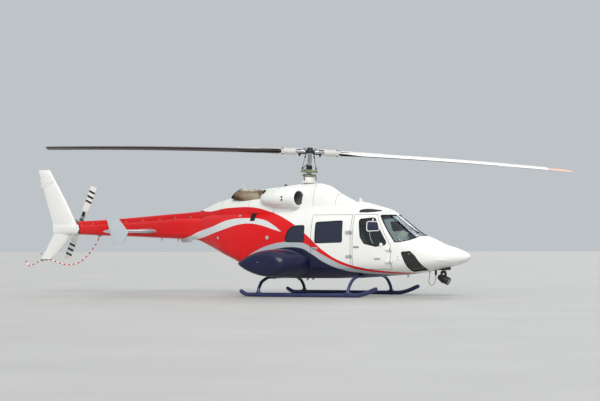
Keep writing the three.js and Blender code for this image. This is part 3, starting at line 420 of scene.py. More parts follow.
def studio_floor():
    """Smooth sealed studio concrete, pale and almost even."""
    material, node, place = new_material("pale_studio_concrete")
    cloud = node("ShaderNodeTexNoise", {"Vector": place, "Scale": 1 / 2.5, "Detail": 4.0})
    grit = node("ShaderNodeTexNoise", {"Vector": place, "Scale": 1 / 0.02, "Detail": 4.0})
    share = node("ShaderNodeMapRange", (cloud, 0.3, 0.7, 0.0, 1.0))
    show(node, "ShaderNodeBsdfPrincipled", {
        "Base Color": node("ShaderNodeMix", {0: share, 6: "#b6b6b3", 7: "#bdbdba"}, 2, data_type="RGBA"),
        "Roughness": 0.6,
        "Normal": node("ShaderNodeBump", {"Height": grit, "Distance": 0.0004, "Strength": 0.3})})
    return material


# For each finish: the function that makes it, its name and its colours, then what that function takes
FINISHES = {
    "livery": (livery_paint,),
    "white": (sprayed, "white_gloss_paint", "#f1f2f0", "#dcdbd7"),
    "navy": (sprayed, "navy_gloss_paint", "#0d143c", "#090e2a", 0.3, 0.12),
    "silver": (sprayed, "silver_satin_paint", "#b9c1c8", "#a2abb3", 0.38, 0.4, 0.2),
    "grey_blue": (sprayed, "grey_blue_satin_paint", "#c2ccd2", "#a5b0b8", 0.4, 0.3),
    "skid": (sprayed, "navy_skid_paint", "#232c5e", "#3a4269", 0.3, 0.6, 0.2),
    "red": (sprayed, "red_gloss_paint", "#d3171d", "#ab1218"),
    "orange": (sprayed, "orange_marker_paint", "#cf9460", "#b0713c"),
    "grip": (sprayed, "light_grey_grip_paint", "#d2d0cc", "#b3b0aa", 0.4, 0.2),
    "blade_white": (sprayed, "white_blade_paint", "#edece8", "#d6d3cc", 0.42, 0.2),
    "blade_dark": (sprayed, "dark_blade_paint", "#2a2421", "#1a1615", 0.5, 0.1),
    "black_gloss": (sprayed, "black_gloss_paint", "#0f1012", "#1b1c1f", 0.3, 0.4),
    "paper": (sprayed, "white_checklist_card", "#f4f4f1", "#e6e6e1", 0.7, 0.0),
    "alloy": (bare_metal, "machined_aluminium", "#b6babd", "#7d8083", 0.34),
    "steel": (bare_metal, "polished_steel", "#c3c4c4", "#8b8b8a", 0.22),
    "dark_steel": (bare_metal, "dark_forged_steel", "#4b4c4e", "#232425", 0.42),
    "olive": (bare_metal, "zinc_chromate_alloy", "#8f9579", "#575c45", 0.5, 0.4),
    "exhaust": (heat_tinted_steel,),
    "soot": (bare_metal, "sooted_steel", "#211c18", "#0c0a09", 0.7, 0.4),
    "clear_pane": (acrylic, "clear_acrylic", "#e9efee", "#0a1018", 0.05),
    "dark_pane": (acrylic, "smoked_acrylic", "#121a2c", "#0b1836", 0.88),
    "chin_pane": (acrylic, "grey_smoked_acrylic", "#22262a", "#101314", 0.85),
    "seal": (moulded, "black_rubber_seal", "#101112", "#1d1e20", 0.55),
    "plastic": (moulded, "black_moulded_plastic", "#17181a", "#26282b", 0.45),
    "trim": (moulded, "grey_cabin_trim", "#54575a", "#63666a", 0.6),
    "rubber": (moulded, "black_cable_rubber", "#151516", "#242425", 0.6),
    "carpet": (woven, "grey_floor_carpet", "#35383c", "#484c51", 0.006),
    "cloth": (woven, "charcoal_seat_cloth", "#1b1e23", "#31363e"),
    "webbing": (woven, "grey_belt_webbing", "#6f6b5f", "#8a8676", 0.002),
    "red_lens": (lens, "red_moulded_lens", "#340a0c", 0.05),
    "clear_lens": (lens, "clear_moulded_lens", "#5f686e", 0.0),
    "screen": (lens, "dark_display_glass", "#0d141c", 0.1),
    "floor": (studio_floor,),
}
MADE = {}


def finish(name):
    """A material by name, made the first time that a piece asks for it."""
    if name not in MADE:
        maker, *values = FINISHES[name]
        MADE[name] = maker(*values)
    return MADE[name]


# Shapes: a mesh is a pair of an array of points and a list of faces


def lofted(rings, capped=True, closed=False):
    """Quads through rings of equal length; closed joins the last ring to the first."""
    rings = np.asarray(rings, float)
    count, size = rings.shape[:2]
    points = rings.reshape(-1, 3)
    faces = []
    for r in range(count if closed else count - 1):
        low, high = r * size, ((r + 1) % count) * size
        for k in range(size):
            n = (k + 1) % size
            faces.append((low + k, low + n, high + n, high + k))
    if capped and not closed:
        faces.append(tuple(range(size - 1, -1, -1)))
        faces.append(tuple((count - 1) * size + k for k in range(size)))
    return points, faces


def outward(mesh):
    """Turns every face the other way round where the mesh encloses a negative volume."""
    points, faces = mesh
    volume = 0.0
    for face in faces:
        a = points[face[0]]
        for b, c in zip(face[1:], face[2:]):
            volume += np.dot(a, np.cross(points[b], points[c]))
    return (points, [tuple(reversed(f)) for f in faces]) if volume < 0 else mesh


def turned(profile, segments=32):
    """A body of revolution about Z through (radius, z) points that start and end on the axis,
    or that close on themselves."""
    profile = rows_of(profile)
    on_axis = profile[0][0] < 1e-9
    body = [p for p in profile if p[0] > 1e-9]
    angles = np.linspace(0, 2 * pi, segments, endpoint=False)
    rings = [[(r * cos(a), r * sin(a), z) for a in angles] for r, z in body]
    points, faces = lofted(rings, capped=False, closed=not on_axis)
    if on_axis:
        points = np.vstack([points, [(0, 0, profile[0][1]), (0, 0, profile[-1][1])]])
        first, last = len(points) - 2, len(points) - 1
        end = (len(body) - 1) * segments
        for k in range(segments):
            n = (k + 1) % segments
            faces.append((first, n, k))
            faces.append((last, end + k, end + n))
    return outward((points, faces))


def smooth_path(points, step):
    """Points a step apart along a Catmull-Rom curve through the given ones."""
    points = np.asarray(points, float)
    padded = np.vstack([2 * points[0] - points[1], points, 2 * points[-1] - points[-2]])
    path = []
    for i in range(len(points) - 1):
        a, b, c, d = padded[i:i + 4]
        for t in np.linspace(0, 1, 12, endpoint=False):
            path.append(0.5 * (2 * b + (c - a) * t + (2 * a - 5 * b + 4 * c - d) * t ** 2
                               + (3 * b - a - 3 * c + d) * t ** 3))
    path.append(points[-1])
    path = np.array(path)
    along = np.concatenate([[0], np.cumsum(norm(np.diff(path, axis=0), axis=1))])
    wanted = np.linspace(0, along[-1], max(2, int(round(along[-1] / step)) + 1))
    return np.stack([np.interp(wanted, along, path[:, axis]) for axis in range(3)], 1)


def swept(points, radius, sides=14):
    """A round tube along points; radius may be one number or one for each point."""
    points = np.asarray(points, float)
    radii = np.broadcast_to(np.asarray(radius, float), (len(points),))
    tangents = np.gradient(points, axis=0)
    tangents /= norm(tangents, axis=1)[:, None]
    side = np.cross(tangents[0], (0.0, 0.0, 1.0))
    if norm(side) < 0.1:
        side = np.cross(tangents[0], (0.0, 1.0, 0.0))
    rings = []
    for centre, tangent, r in zip(points, tangents, radii):
        side = side - tangent * np.dot(side, tangent)
        side /= norm(side)
        up = np.cross(tangent, side)
        angles = np.linspace(0, 2 * pi, sides, endpoint=False)
        rings.append([centre + r * (cos(a) * side + sin(a) * up) for a in angles])
    return outward(lofted(rings))


def rounded(outline, radius, steps=5):
    """An outline with its corners replaced by arcs of up to that radius."""
    points = [np.array(p, float) for p in outline]
    result = []
    for i, corner in enumerate(points):
        before, after = points[i - 1], points[(i + 1) % len(points)]
        u, v = before - corner, after - corner
        lu, lv = norm(u), norm(v)
        u, v = u / lu, v / lv
        half = acos(max(-1.0, min(1.0, float(np.dot(u, v))))) / 2
        reach = min(radius / max(tan(half), 1e-6), 0.45 * lu, 0.45 * lv)
        a, b = corner + u * reach, corner + v * reach
        for t in np.linspace(0, 1, steps):
            result.append(tuple((1 - t) ** 2 * a + 2 * t * (1 - t) * corner + t ** 2 * b))
    return result


def grown(outline, distance):
    """An outline with every edge moved outwards."""
    points = [np.array(p, float) for p in outline]
    area = sum(p[0] * q[1] - q[0] * p[1] for p, q in zip(points, points[1:] + points[:1]))
    side = copysign(1.0, area)
    result = []
    for i, corner in enumerate(points):
        into = corner - points[i - 1]
        onto = points[(i + 1) % len(points)] - corner
        n1 = np.array([into[1], -into[0]]) * side / norm(into)
        n2 = np.array([onto[1], -onto[0]]) * side / norm(onto)
        mitre = n1 + n2
        mitre /= norm(mitre)
        result.append(tuple(corner + mitre * distance / max(float(np.dot(mitre, n2)), 0.3)))
    return result


def prism(outline, low, high, axis="y"):
    """An outline in the x-z plane extruded along y, or one in the x-y plane along z."""
    outline = rows_of(outline)
    rings = [[(p, level, q) if axis == "y" else (p, q, level) for p, q in outline] for level in (low, high)]
    return outward(lofted(rings))


def block(x0, x1, y0, y1, z0, z1):
    return prism([(x0, z0), (x1, z0), (x1, z1), (x0, z1)], y0, y1)


def softened(mesh, radius=0.004, segments=2):
    """A mesh with its sharp edges bevelled."""
    shape = bmesh.new()
    corners = [shape.verts.new(p) for p in mesh[0]]
    for face in mesh[1]:
        shape.faces.new([corners[i] for i in face])
    shape.normal_update()
    edges = [e for e in shape.edges if e.is_manifold and e.calc_face_angle() > 0.6]
    bmesh.ops.bevel(shape, geom=edges, offset=radius, segments=segments, profile=0.5, affect="EDGES",
                    clamp_overlap=True)
    shape.verts.index_update()
    result = (np.array([v.co[:] for v in shape.verts]), [tuple(v.index for v in f.verts)
        for f in shape.faces])
    shape.free()
    return result


def bar(x0, x1, y0, y1, z0, z1, radius=0.004):
    return softened(block(x0, x1, y0, y1, z0, z1), radius)


def moved(mesh, place=(0, 0, 0), turn=None):
    """A mesh turned by a matrix and then moved."""
    points = mesh[0] if turn is None else mesh[0] @ np.array(turn.to_3x3()).T
    return points + np.array(place, float), mesh[1]


def all_moved(parts, place=(0, 0, 0), turn=None):
    return [(moved(mesh, place, turn), surface) for mesh, surface in parts]


def all_mirrored(parts, side):
    return [(mirrored(mesh, side), surface) for mesh, surface in parts]


def mirrored(mesh, side):
    """The starboard mesh itself, or its mirror image to port."""
    if side < 0:
        return mesh
    return mesh[0] * (1, -1, 1), [tuple(reversed(face)) for face in mesh[1]]


def aim(direction):
    """The matrix that turns +Z towards a direction."""
    return Vector(direction).normalized().to_track_quat("Z", "Y").to_matrix()


def monotone(xs, ys, at):
    """The values at some places of a monotone cubic through given points."""
    steps = np.diff(ys) / np.diff(xs)
    slopes = np.concatenate([[steps[0]], np.zeros(len(xs) - 2), [steps[-1]]])
    same = steps[:-1] * steps[1:] > 0
    inner = np.zeros(len(xs) - 2)
    inner[same] = 2 / (1 / steps[:-1][same] + 1 / steps[1:][same])
    slopes[1:-1] = inner
    i = np.clip(np.searchsorted(xs, at, side="right") - 1, 0, len(xs) - 2)
    span = xs[i + 1] - xs[i]
    t = (at - xs[i]) / span
    return ((1 + 2 * t) * (1 - t) ** 2 * ys[i] + t * (1 - t) ** 2 * span * slopes[i]
            + t * t * (3 - 2 * t) * ys[i + 1] + t * t * (t - 1) * span * slopes[i + 1])


def denser(rows, gap):
    """A table's rows with more between them, so that the first column steps by a gap at most."""
    result = [rows[0]]
    for before, after in zip(rows, rows[1:]):
        count = max(1, ceil(abs(after[0] - before[0]) / gap))
        for k in range(1, count + 1):
            result.append(tuple(a + (b - a) * k / count for a, b in zip(before, after)))
    return result


def aerofoil(leading, trailing, thickness, count=40):
    """Points of a section as (chordwise, height), from the trailing edge round the nose."""
    half = count // 2
    u = (1 + np.cos(np.linspace(0, pi, half + 1))) / 2
    height = thickness / 2 * np.sqrt(u) * (1 - u) ** 0.8 / 0.4206
    height = np.maximum(height, thickness * 0.02)
    along = leading + (trailing - leading) * u
    upper = list(zip(along, height))
    lower = list(zip(along[::-1], -height[::-1]))
    return upper[:-1] + [(leading, 0.0)] + lower[1:]


# Pieces


def make_piece(name, parts, replaces=(), body="airframe", angle=35.0, skins=(), reach=0.004):
    """A finished piece from (mesh, finish) parts, smooth up to an angle, riding on a body. Parts
    with the same array of points share those points."""
    arrays, starts, faces, indices, names = [], {}, [], [], []
    total = 0
    for (points, part_faces), surface in parts:
        if id(points) not in starts:
            starts[id(points)] = total
            arrays.append(points)
            total += len(points)
        start = starts[id(points)]
        faces.extend(tuple(start + i for i in face) for face in part_faces)
        if surface not in names:
            names.append(surface)
        indices.extend([names.index(surface)] * len(part_faces))
    data = bpy.data.meshes.new(name)
    data.from_pydata([tuple(p) for p in np.vstack(arrays) + (ROTOR_X, 0, 0)], [], faces)
    for surface in names:
        data.materials.append(finish(surface))
    data.polygons.foreach_set("material_index", indices)
    return settle(name, data, replaces, body, angle, skins, reach)


def settle(name, data, replaces=(), body="airframe", angle=35.0, skins=(), reach=0.004):
    """Shades a mesh, makes its object, parents it to the empty of the body that it rides on and hides the CAD
    parts that it replaces.
    """
    data.validate()
    data.shade_smooth()
    data.set_sharp_from_angle(angle=radians(angle))
    if skins:
        follow_skins(data, skins, reach)
    piece = bpy.data.objects.new(name, data)
    bpy.context.scene.collection.objects.link(piece)
    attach(piece, body)
    if replaces:
        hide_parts(*([replaces] if isinstance(replaces, str) else replaces))
    return piece


# The body's outer skin, a superellipse at every x


class Skin:
    """A body whose section at any x is read from a table of stations."""

    def __init__(self, stations, smoothing=0.05):
        rows = np.array(stations)
        self.first, self.last = rows[0, 0], rows[-1, 0]
        self.x = np.linspace(self.first, self.last, int((self.last - self.first) / 0.01) + 1)
        columns = [monotone(rows[:, 0], rows[:, c], self.x) for c in range(1, 7)]
        reach = int(3 * smoothing / 0.01)
        weights = np.exp(-0.5 * (np.arange(-reach, reach + 1) * 0.01 / smoothing) ** 2)
        weights /= weights.sum()
        self.columns = []
        for column in columns:
            before = 2 * column[0] - column[1:reach + 1][::-1]
            after = 2 * column[-1] - column[-reach - 1:-1][::-1]
            self.columns.append(np.convolve(np.concatenate([before, column, after]), weights, "valid"))

    def at(self, x):
        return [np.interp(x, self.x, column) for column in self.columns]

    def ring(self, x, inset=0.0, count=96):
        bottom, top, half, wide, upper, lower = self.at(x)
        angles = np.linspace(0, 2 * pi, count, endpoint=False)
        c, s = np.cos(angles), np.sin(angles)
        power = np.where(s >= 0, upper, lower)
        reach = np.where(s >= 0, top - inset - wide, wide - bottom - inset)
        y = (half - inset) * np.sign(c) * np.abs(c) ** (2 / power)
        z = wide + reach * np.sign(s) * np.abs(s) ** (2 / power)
        return np.stack([np.full(count, float(x)), y, z], 1)

    def solid(self, inset=0.0, start=None, end=None, step=0.03, count=96):
        start = self.first if start is None else start
        end = self.last if end is None else end
        xs = np.linspace(start, end, max(3, int((end - start) / step) + 1))
        return outward(lofted([self.ring(x, inset, count) for x in xs]))

    def field(self, points):
        """Below 0 inside the skin, 0 on it and above 0 outside."""
        bottom, top, half, wide, upper, lower = self.at(points[:, 0])
        above = points[:, 2] >= wide
        reach = np.where(above, top - wide, wide - bottom)
        power = np.where(above, upper, lower)
        return (np.abs(points[:, 1]) / half) ** power + (np.abs(points[:, 2] - wide) / reach) ** power - 1

    def gradient(self, points, step=0.002):
        parts = []
        for axis in range(3):
            shift = np.zeros(3)
            shift[axis] = step
            parts.append((self.field(points + shift) - self.field(points - shift)) / (2 * step))
        return np.stack(parts, 1)

    def side_y(self, x, z):
        """The starboard skin's y at an x and z."""
        bottom, top, half, wide, upper, lower = self.at(x)
        reach, power = (top - wide, upper) if z >= wide else (wide - bottom, lower)
        return -half * max(0.0, 1 - (abs(z - wide) / reach) ** power) ** (1 / power)

    def top_z(self, x, y):
        top, half, wide, upper = self.at(x)[1:5]
        return wide + (top - wide) * max(0.0, 1 - (abs(y) / half) ** upper) ** (1 / upper)

    def normal(self, point):
        n = self.gradient(np.array([point], float))[0]
        return n / norm(n)


HULL = Skin(HULL_STATIONS)
BOOM = Skin(BOOM_STATIONS)
SHAFT_COVER = Skin(SHAFT_COVER_STATIONS)
COWLING = Skin(COWLING_STATIONS)


def follow_skins(data, skins, reach):
    """Gives the corners within reach of a skin the skin's own normal, so that cut edges stay smooth."""
    count = len(data.vertices)
    points = np.empty(count * 3)
    data.vertices.foreach_get("co", points)
    points = points.reshape(-1, 3) - (ROTOR_X, 0, 0)
    corner_points = np.empty(len(data.loops), int)
    data.loops.foreach_get("vertex_index", corner_points)
    normals = np.empty(len(data.loops) * 3)
    data.corner_normals.foreach_get("vector", normals)
    normals = normals.reshape(-1, 3)
    faces = np.empty(len(data.polygons) * 3)
    data.polygons.foreach_get("normal", faces)
    totals = np.empty(len(data.polygons), int)
    data.polygons.foreach_get("loop_total", totals)
    flat = np.repeat(faces.reshape(-1, 3), totals, axis=0)
    for skin in skins:
        slope = skin.gradient(points)
        size = np.maximum(norm(slope, axis=1), 1e-6)
        within = (points[:, 0] > skin.first - 0.001) & (points[:, 0] < skin.last + 0.001)
        near = (np.abs(skin.field(points) / size) < reach) & within
        ideal = (slope / size[:, None])[corner_points]
        agreement = np.einsum("ij,ij->i", ideal, flat)
        matching = near[corner_points] & (np.abs(agreement) > 0.9)
        normals[matching] = (ideal * np.sign(agreement)[:, None])[matching]
    data.normals_split_custom_set([tuple(n) for n in normals])


# Cutting


def scratch(mesh, name="scratch"):
    """An unseen object from a mesh, for cutting with."""
    data = bpy.data.meshes.new(name)
    data.from_pydata([tuple(p) for p in mesh[0]], [], mesh[1])
    made = bpy.data.objects.new(name, data)
    bpy.context.scene.collection.objects.link(made)
    return made


def applied(body):
    """An object's mesh after its modifiers, which come off."""
    graph = bpy.context.evaluated_depsgraph_get()
    result = bpy.data.meshes.new_from_object(body.evaluated_get(graph))
    body.modifiers.clear()
    old, body.data = body.data, result
    bpy.data.meshes.remove(old)
    points = np.empty(len(result.vertices) * 3)
    result.vertices.foreach_get("co", points)
    return points.reshape(-1, 3)


def taken(body):
    """An object's mesh, once it is no longer needed."""
    data = body.data
    points = np.empty(len(data.vertices) * 3)
    data.vertices.foreach_get("co", points)
    faces = [tuple(p.vertices) for p in data.polygons]
    bpy.data.objects.remove(body)
    bpy.data.meshes.remove(data)
    return points.reshape(-1, 3), faces


def joined(*meshes):
    points, faces = [], []
    for mesh in meshes:
        start = sum(len(p) for p in points)
        points.append(np.asarray(mesh[0], float))
        faces.extend(tuple(start + i for i in face) for face in mesh[1])
    return np.vstack(points), faces


def carved(mesh, *steps):
    """A mesh after a row of cuts, each (OFF, KEEP or ADD, mesh)."""
    body = scratch(mesh)
    for operation, tool_mesh in steps:
        tool = scratch(tool_mesh)
        cut = body.modifiers.new("cut", "BOOLEAN")
        cut.operation = operation
        cut.solver = "MANIFOLD"
        cut.object = tool
        applied(body)
        taken(tool)
    return taken(body)


def split_by_depth(mesh, skin, depth, outer_finish, inner_finish):
    """Parts of a panel: the faces near the skin get one finish and those behind it another."""
    points, faces = mesh
    centres = np.array([points[list(face)].mean(0) for face in faces])
    slope = np.maximum(norm(skin.gradient(centres), axis=1), 1e-6)
    outside = skin.field(centres) / slope > -depth
    outer = [face for face, is_outer in zip(faces, outside) if is_outer]
    inner = [face for face, is_outer in zip(faces, outside) if not is_outer]
    return [((points, outer), outer_finish), ((points, inner), inner_finish)]


def largest(mesh):
    """A mesh's largest connected piece, without the slivers that cutting leaves."""
    points, faces = mesh
    shape = bmesh.new()
    corners = [shape.verts.new(p) for p in points]
    for face in faces:
        shape.faces.new([corners[i] for i in face])
    seen, best = set(), []
    for start in shape.faces:
        if start in seen:
            continue
        group, waiting = [], [start]
        seen.add(start)
        while waiting:
            face = waiting.pop()
            group.append(face)
            for edge in face.edges:
                for other in edge.link_faces:
                    if other not in seen:
                        seen.add(other)
                        waiting.append(other)
        if len(group) > len(best):
            best = group
    shape.verts.index_update()
    kept = sorted({v.index for f in best for v in f.verts})
    order = {old: new for new, old in enumerate(kept)}
    result = points[kept], [tuple(order[v.index] for v in f.verts) for f in best]
    shape.free()
    return result


# Properties


class HelicopterLivery(bpy.types.PropertyGroup):
    white: StringProperty(name="White", description="Upper body colour", default="#f3f4f2")
    red: StringProperty(name="Red", description="Band and tail boom colour", default="#de0a12")
    silver: StringProperty(name="Silver", description="Colour of the thin band", default="#b4bdc4")
    swoosh: StringProperty(name="Swoosh", description="Colour of the aft streak", default="#d9dee0")
    navy: StringProperty(name="Navy", description="Belly and sponson colour", default="#0d143c")


class HelicopterSizes(bpy.types.PropertyGroup):
    blade_radius: FloatProperty(
        name="Blade radius", description="From the mast to a main blade's tip", default=6.4,
            subtype="DISTANCE")
    rivet_spacing: FloatProperty(
        name="Rivet spacing", description="From one rivet to the next", default=0.06, subtype="DISTANCE")
    rivet_radius: FloatProperty(
        name="Rivet radius", description="Half the width of a rivet's head", default=0.0035,
            subtype="DISTANCE")


# Stage


class HELICOPTER_OT_stage(Operator):
    """Sets the floor, the soft lights and the camera"""
    bl_idname = "helicopter.stage"
    bl_label = "Stage and camera"

    def execute(self, context):
        extent = 90.0
        data = bpy.data.meshes.new("studio_floor")
        data.from_pydata([(-extent, -extent, 0), (extent, -extent, 0), (extent, extent, 0),
                          (-extent, extent, 0)], [], [(0, 1, 2, 3)])
        data.materials.append(finish("floor"))
        floor = bpy.data.objects.new("studio_floor", data)
        context.scene.collection.objects.link(floor)

        world = bpy.data.worlds.new("soft_studio_sky")
        world.use_nodes = True
        world.node_tree.nodes.clear()
        place = add_node(world.node_tree, "ShaderNodeTexCoord", output="Generated")
        height = add_node(world.node_tree, "ShaderNodeSeparateXYZ", (place,), "Z")
        ramp = add_node(world.node_tree, "ShaderNodeValToRGB", (height,))
        elements = ramp.node.color_ramp.elements
        elements[0].position, elements[0].color = 0.5, linear("#bec3c7")
        elements[1].position, elements[1].color = 0.9, linear("#e3e6e8")
        sky = add_node(world.node_tree, "ShaderNodeBackground", (ramp, 1.0))
        add_node(world.node_tree, "ShaderNodeOutputWorld", {"Surface": sky})
        context.scene.world = world
        context.scene.view_settings.view_transform = "Standard"

        for name, direction, strength, colour in (("key", (13.5, -24.0, 20.8), 1.9, "#fffaf2"),
                                                  ("back", (-6.0, 20.0, 15.0), 0.5, "#f4f7ff")):
            lamp = bpy.data.lights.new(name, "SUN")
            lamp.angle = 0.6
            lamp.energy = strength
            lamp.color = linear(colour)[:3]
            holder = bpy.data.objects.new(name, lamp)
            holder.rotation_euler = Vector(direction).to_track_quat("Z", "Y").to_euler()
            context.scene.collection.objects.link(holder)

        camera = bpy.data.objects.new("camera", bpy.data.cameras.new("camera"))
        camera.data.lens = CAMERA_LENS
        camera.data.sensor_width = 36.0
        camera.data.clip_end = 400.0
        forward = Vector((-sin(CAMERA_YAW) * cos(CAMERA_PITCH),
                          cos(CAMERA_YAW) * cos(CAMERA_PITCH), sin(CAMERA_PITCH)))
        right = Vector((cos(CAMERA_YAW), sin(CAMERA_YAW), 0.0))
        down = forward.cross(right)
        across = right * cos(CAMERA_ROLL) + down * sin(CAMERA_ROLL)
        upward = -(down * cos(CAMERA_ROLL) - right * sin(CAMERA_ROLL))
        turn = Matrix((across, upward, -forward)).transposed()
        camera.matrix_world = Matrix.Translation(Vector(CAMERA_PLACE)
            + Vector((ROTOR_X, 0, 0))) @ turn.to_4x4()
        context.scene.collection.objects.link(camera)
        context.scene.camera = camera
        return {"FINISHED"}


class HELICOPTER_OT_searchlight_cable(Operator):
    """Hangs the cable between the belly and the searchlight"""
    bl_idname = "helicopter.searchlight_cable"
    bl_label = "Searchlight cable"

    def execute(self, context):
        route = smooth_path(CABLE_ROUTE, CABLE_DIAMETER)
        cable = make_piece("hanging_cable", [(swept(route, CABLE_DIAMETER / 2, 12), "rubber")],
            "searchlight_cable", "airframe", 60)
        length = float(norm(np.diff(route, axis=0), axis=1).sum())
        return {"FINISHED"}


# Body shell


def both_sides(mesh):
    return joined(mesh, mirrored(mesh, 1))


def side_hole(outline):
    return prism(outline, -1.0, -0.15)


WINDOW_CORNERS = {"crew": 0.05, "cabin": 0.05, "quarter": 0.05, "windshield": 0.02, "chin": 0.03,
                  "skylight": 0.02}


def window_outline(kind):
    outlines = {"crew": CREW_WINDOW, "cabin": CABIN_WINDOW, "quarter": QUARTER_WINDOW,
                "windshield": WINDSHIELD, "chin": CHIN_WINDOW, "skylight": SKYLIGHT}
    return rounded(outlines[kind], WINDOW_CORNERS[kind])


def window_hole(kind, growth=0.0):
    """The starboard prism through a window's opening."""
    outline = window_outline(kind)
    if growth:
        outline = grown(outline, growth)
    if kind == "skylight":
        return prism([(px, -py) for px, py in outline], 1.7, 2.4, "z")
    reach = {"windshield": -CENTRE_POST_HALF + min(growth, 0.0), "chin": -0.25 + min(growth, 0.0)}
    return prism(outline, -1.0, reach.get(kind, -0.15))


FIXED_WINDOWS = ("windshield", "skylight", "quarter", "chin")


def cabin_shell():
    """The body around the hollow cabin, with every door and window cut out."""
    hollow = carved(HULL.solid(WALL, *HOLLOW_ENDS),
                    (KEEP, carved(block(-1.0, 3.24, -0.9, 0.9, FLOOR_Z, 2.6),
                                  (ADD, block(2.56, 3.24, -0.9, 0.9, 0.3, FLOOR_Z + 0.001)))))
    door_band = carved(HULL.solid(-0.01), (OFF, HULL.solid(WALL + 0.006, -2.88, 3.49)))
    door_holes = both_sides(joined(*[side_hole(grown(door, DOOR_GAP)) for door in (CREW_DOOR, CABIN_DOOR)]))
    cuts = carved(door_holes, (KEEP, door_band))
    shell = carved(HULL.solid(), (OFF, hollow), (OFF, cuts))
    for kind in FIXED_WINDOWS:
        shell = carved(shell, (OFF, both_sides(window_hole(kind))))
    return shell


class HELICOPTER_OT_body(Operator):
    """Makes the painted body panels around the cabin, the nose and the aft body"""
    bl_idname = "helicopter.body"
    bl_label = "Body panels"

    def execute(self, context):
        shell = cabin_shell()
        panels = [
            ("belly_panel", "belly_tub", (-0.9997, 3.32, -0.9, 0.9, 0.3, FLOOR_Z)),
            ("windshield_surround", "windshield_frame", (2.0953, 3.32, -0.9, 0.9, FLOOR_Z + 0.0003, 2.6)),
            ("roof_panel", "cabin_roof", (-0.9997, 2.095, -0.9, 0.9, 1.9753, 2.6)),
            ("side_panel_right", "side_wall_right", (-0.9997, 2.095, -0.9, 0.0, FLOOR_Z + 0.0003, 1.975)),
            ("side_panel_left", "side_wall_left", (-0.9997, 2.095, 0.0, 0.9, FLOOR_Z + 0.0003, 1.975)),
        ]
        for name, node, limits in panels:
            mesh = carved(shell, (KEEP, block(*limits)))
            parts = split_by_depth(mesh, HULL, 0.03, "livery", "trim")
            make_piece(name, parts, node, skins=[HULL])
        nose = carved(HULL.solid(step=0.02), (KEEP, block(3.3203, 4.3, -0.9, 0.9, 0.3, 2.6)))
        make_piece("nose_shell", [(nose, "livery")], "nose_cone", skins=[HULL])
        inner = HULL.solid(WALL, -2.88, -0.95)
        aft = carved(HULL.solid(), (KEEP, block(-3.0, -1.0, -0.9, 0.9, 0.3, 2.6)), (OFF, inner))
        make_piece("aft_shell", split_by_depth(aft, HULL, 0.03, "livery", "trim"), "aft_body", skins=[HULL])
        return {"FINISHED"}


def pane_layers():
    """The body's skin where panes lie, as thick as a pane, and the skin as thick as their seals."""
    layer = carved(HULL.solid(PANE_DEPTH, -1.4, 3.5),
                   (OFF, HULL.solid(PANE_DEPTH + PANE_THICKNESS, -1.45, 3.55)))
    return layer, carved(HULL.solid(-SEAL_PROUD), (OFF, HULL.solid(PANE_DEPTH, -3.0, 3.9)))


class HELICOPTER_OT_glazing(Operator):
    """Makes the fixed panes and their rubber seals"""
    bl_idname = "helicopter.glazing"
    bl_label = "Fixed windows"

    def execute(self, context):
        layer, seals = pane_layers()
        nodes = {"windshield": ("windshield", "clear_pane"), "skylight": ("skylight", "dark_pane"),
                 "quarter": ("quarter_window", "dark_pane"), "chin": ("chin_window", "chin_pane")}
        for kind, (node, surface) in nodes.items():
            for side_name, side in SIDES:
                pane = carved(layer, (KEEP, mirrored(window_hole(kind, -0.001), side)))
                make_piece(f"{kind}_pane_{side_name}", [(pane, surface)], f"{node}_{side_name}",
                           skins=[HULL], reach=0.025)
        rims = []
        for kind in FIXED_WINDOWS:
            rim = carved(seals, (KEEP, both_sides(window_hole(kind, 0.012))),
                         (OFF, both_sides(window_hole(kind, -0.008))))
            rims.append((rim, "seal"))
        make_piece("window_seals", rims)
        return {"FINISHED"}


class HELICOPTER_OT_doors(Operator):
    """Makes the four doors with their panes and seals"""
    bl_idname = "helicopter.doors"
    bl_label = "Doors"

    def execute(self, context):
        doors = [("crew_door", CREW_DOOR, "crew", "clear_pane"), ("cabin_door", CABIN_DOOR, "cabin",
            "dark_pane")]
        lip = carved(HULL.solid(), (OFF, HULL.solid(DOOR_LIP, *HOLLOW_ENDS)))
        whole = carved(HULL.solid(), (OFF, HULL.solid(DOOR_THICKNESS, *HOLLOW_ENDS)))
        layer, seals = pane_layers()
        for name, outline, kind, surface in doors:
            inner = carved(whole, (KEEP, side_hole(grown(outline, -DOOR_STEP))))
            panel = carved(lip, (KEEP, side_hole(outline)), (ADD, inner), (OFF, window_hole(kind)))
            pane = carved(layer, (KEEP, window_hole(kind, -0.001)))
            rim = carved(seals, (KEEP, window_hole(kind, 0.012)), (OFF, window_hole(kind, -0.008)))
            for side_name, side in SIDES:
                body = f"{side_name}_{name}"
                parts = split_by_depth(mirrored(panel, side), HULL, 0.022, "livery", "trim")
                make_piece(f"{name}_shell_{side_name}", parts, f"{name}_{side_name}", body, skins=[HULL])
                make_piece(f"{name}_glass_{side_name}", [(mirrored(pane, side), surface)],
                    f"{name}_pane_{side_name}", body, skins=[HULL], reach=0.025)
                make_piece(f"{name}_seal_{side_name}", [(mirrored(rim, side), "seal")], body=body)
        return {"FINISHED"}


# Details of the skin


def patch(skin, outline, proud=0.0, depth=0.004, side=-1):
    """A piece of a skin's side inside an outline in x and z."""
    xs = [p[0] for p in outline]
    start, end = max(min(xs) - 0.03, skin.first), min(max(xs) + 0.03, skin.last)
    layer = carved(skin.solid(-proud, start, end, 0.012, 144),
                   (OFF, skin.solid(depth, start - 0.01, end + 0.01, 0.012, 144)))
    return carved(layer, (KEEP, mirrored(prism(outline, -1.2, -0.02), side)))


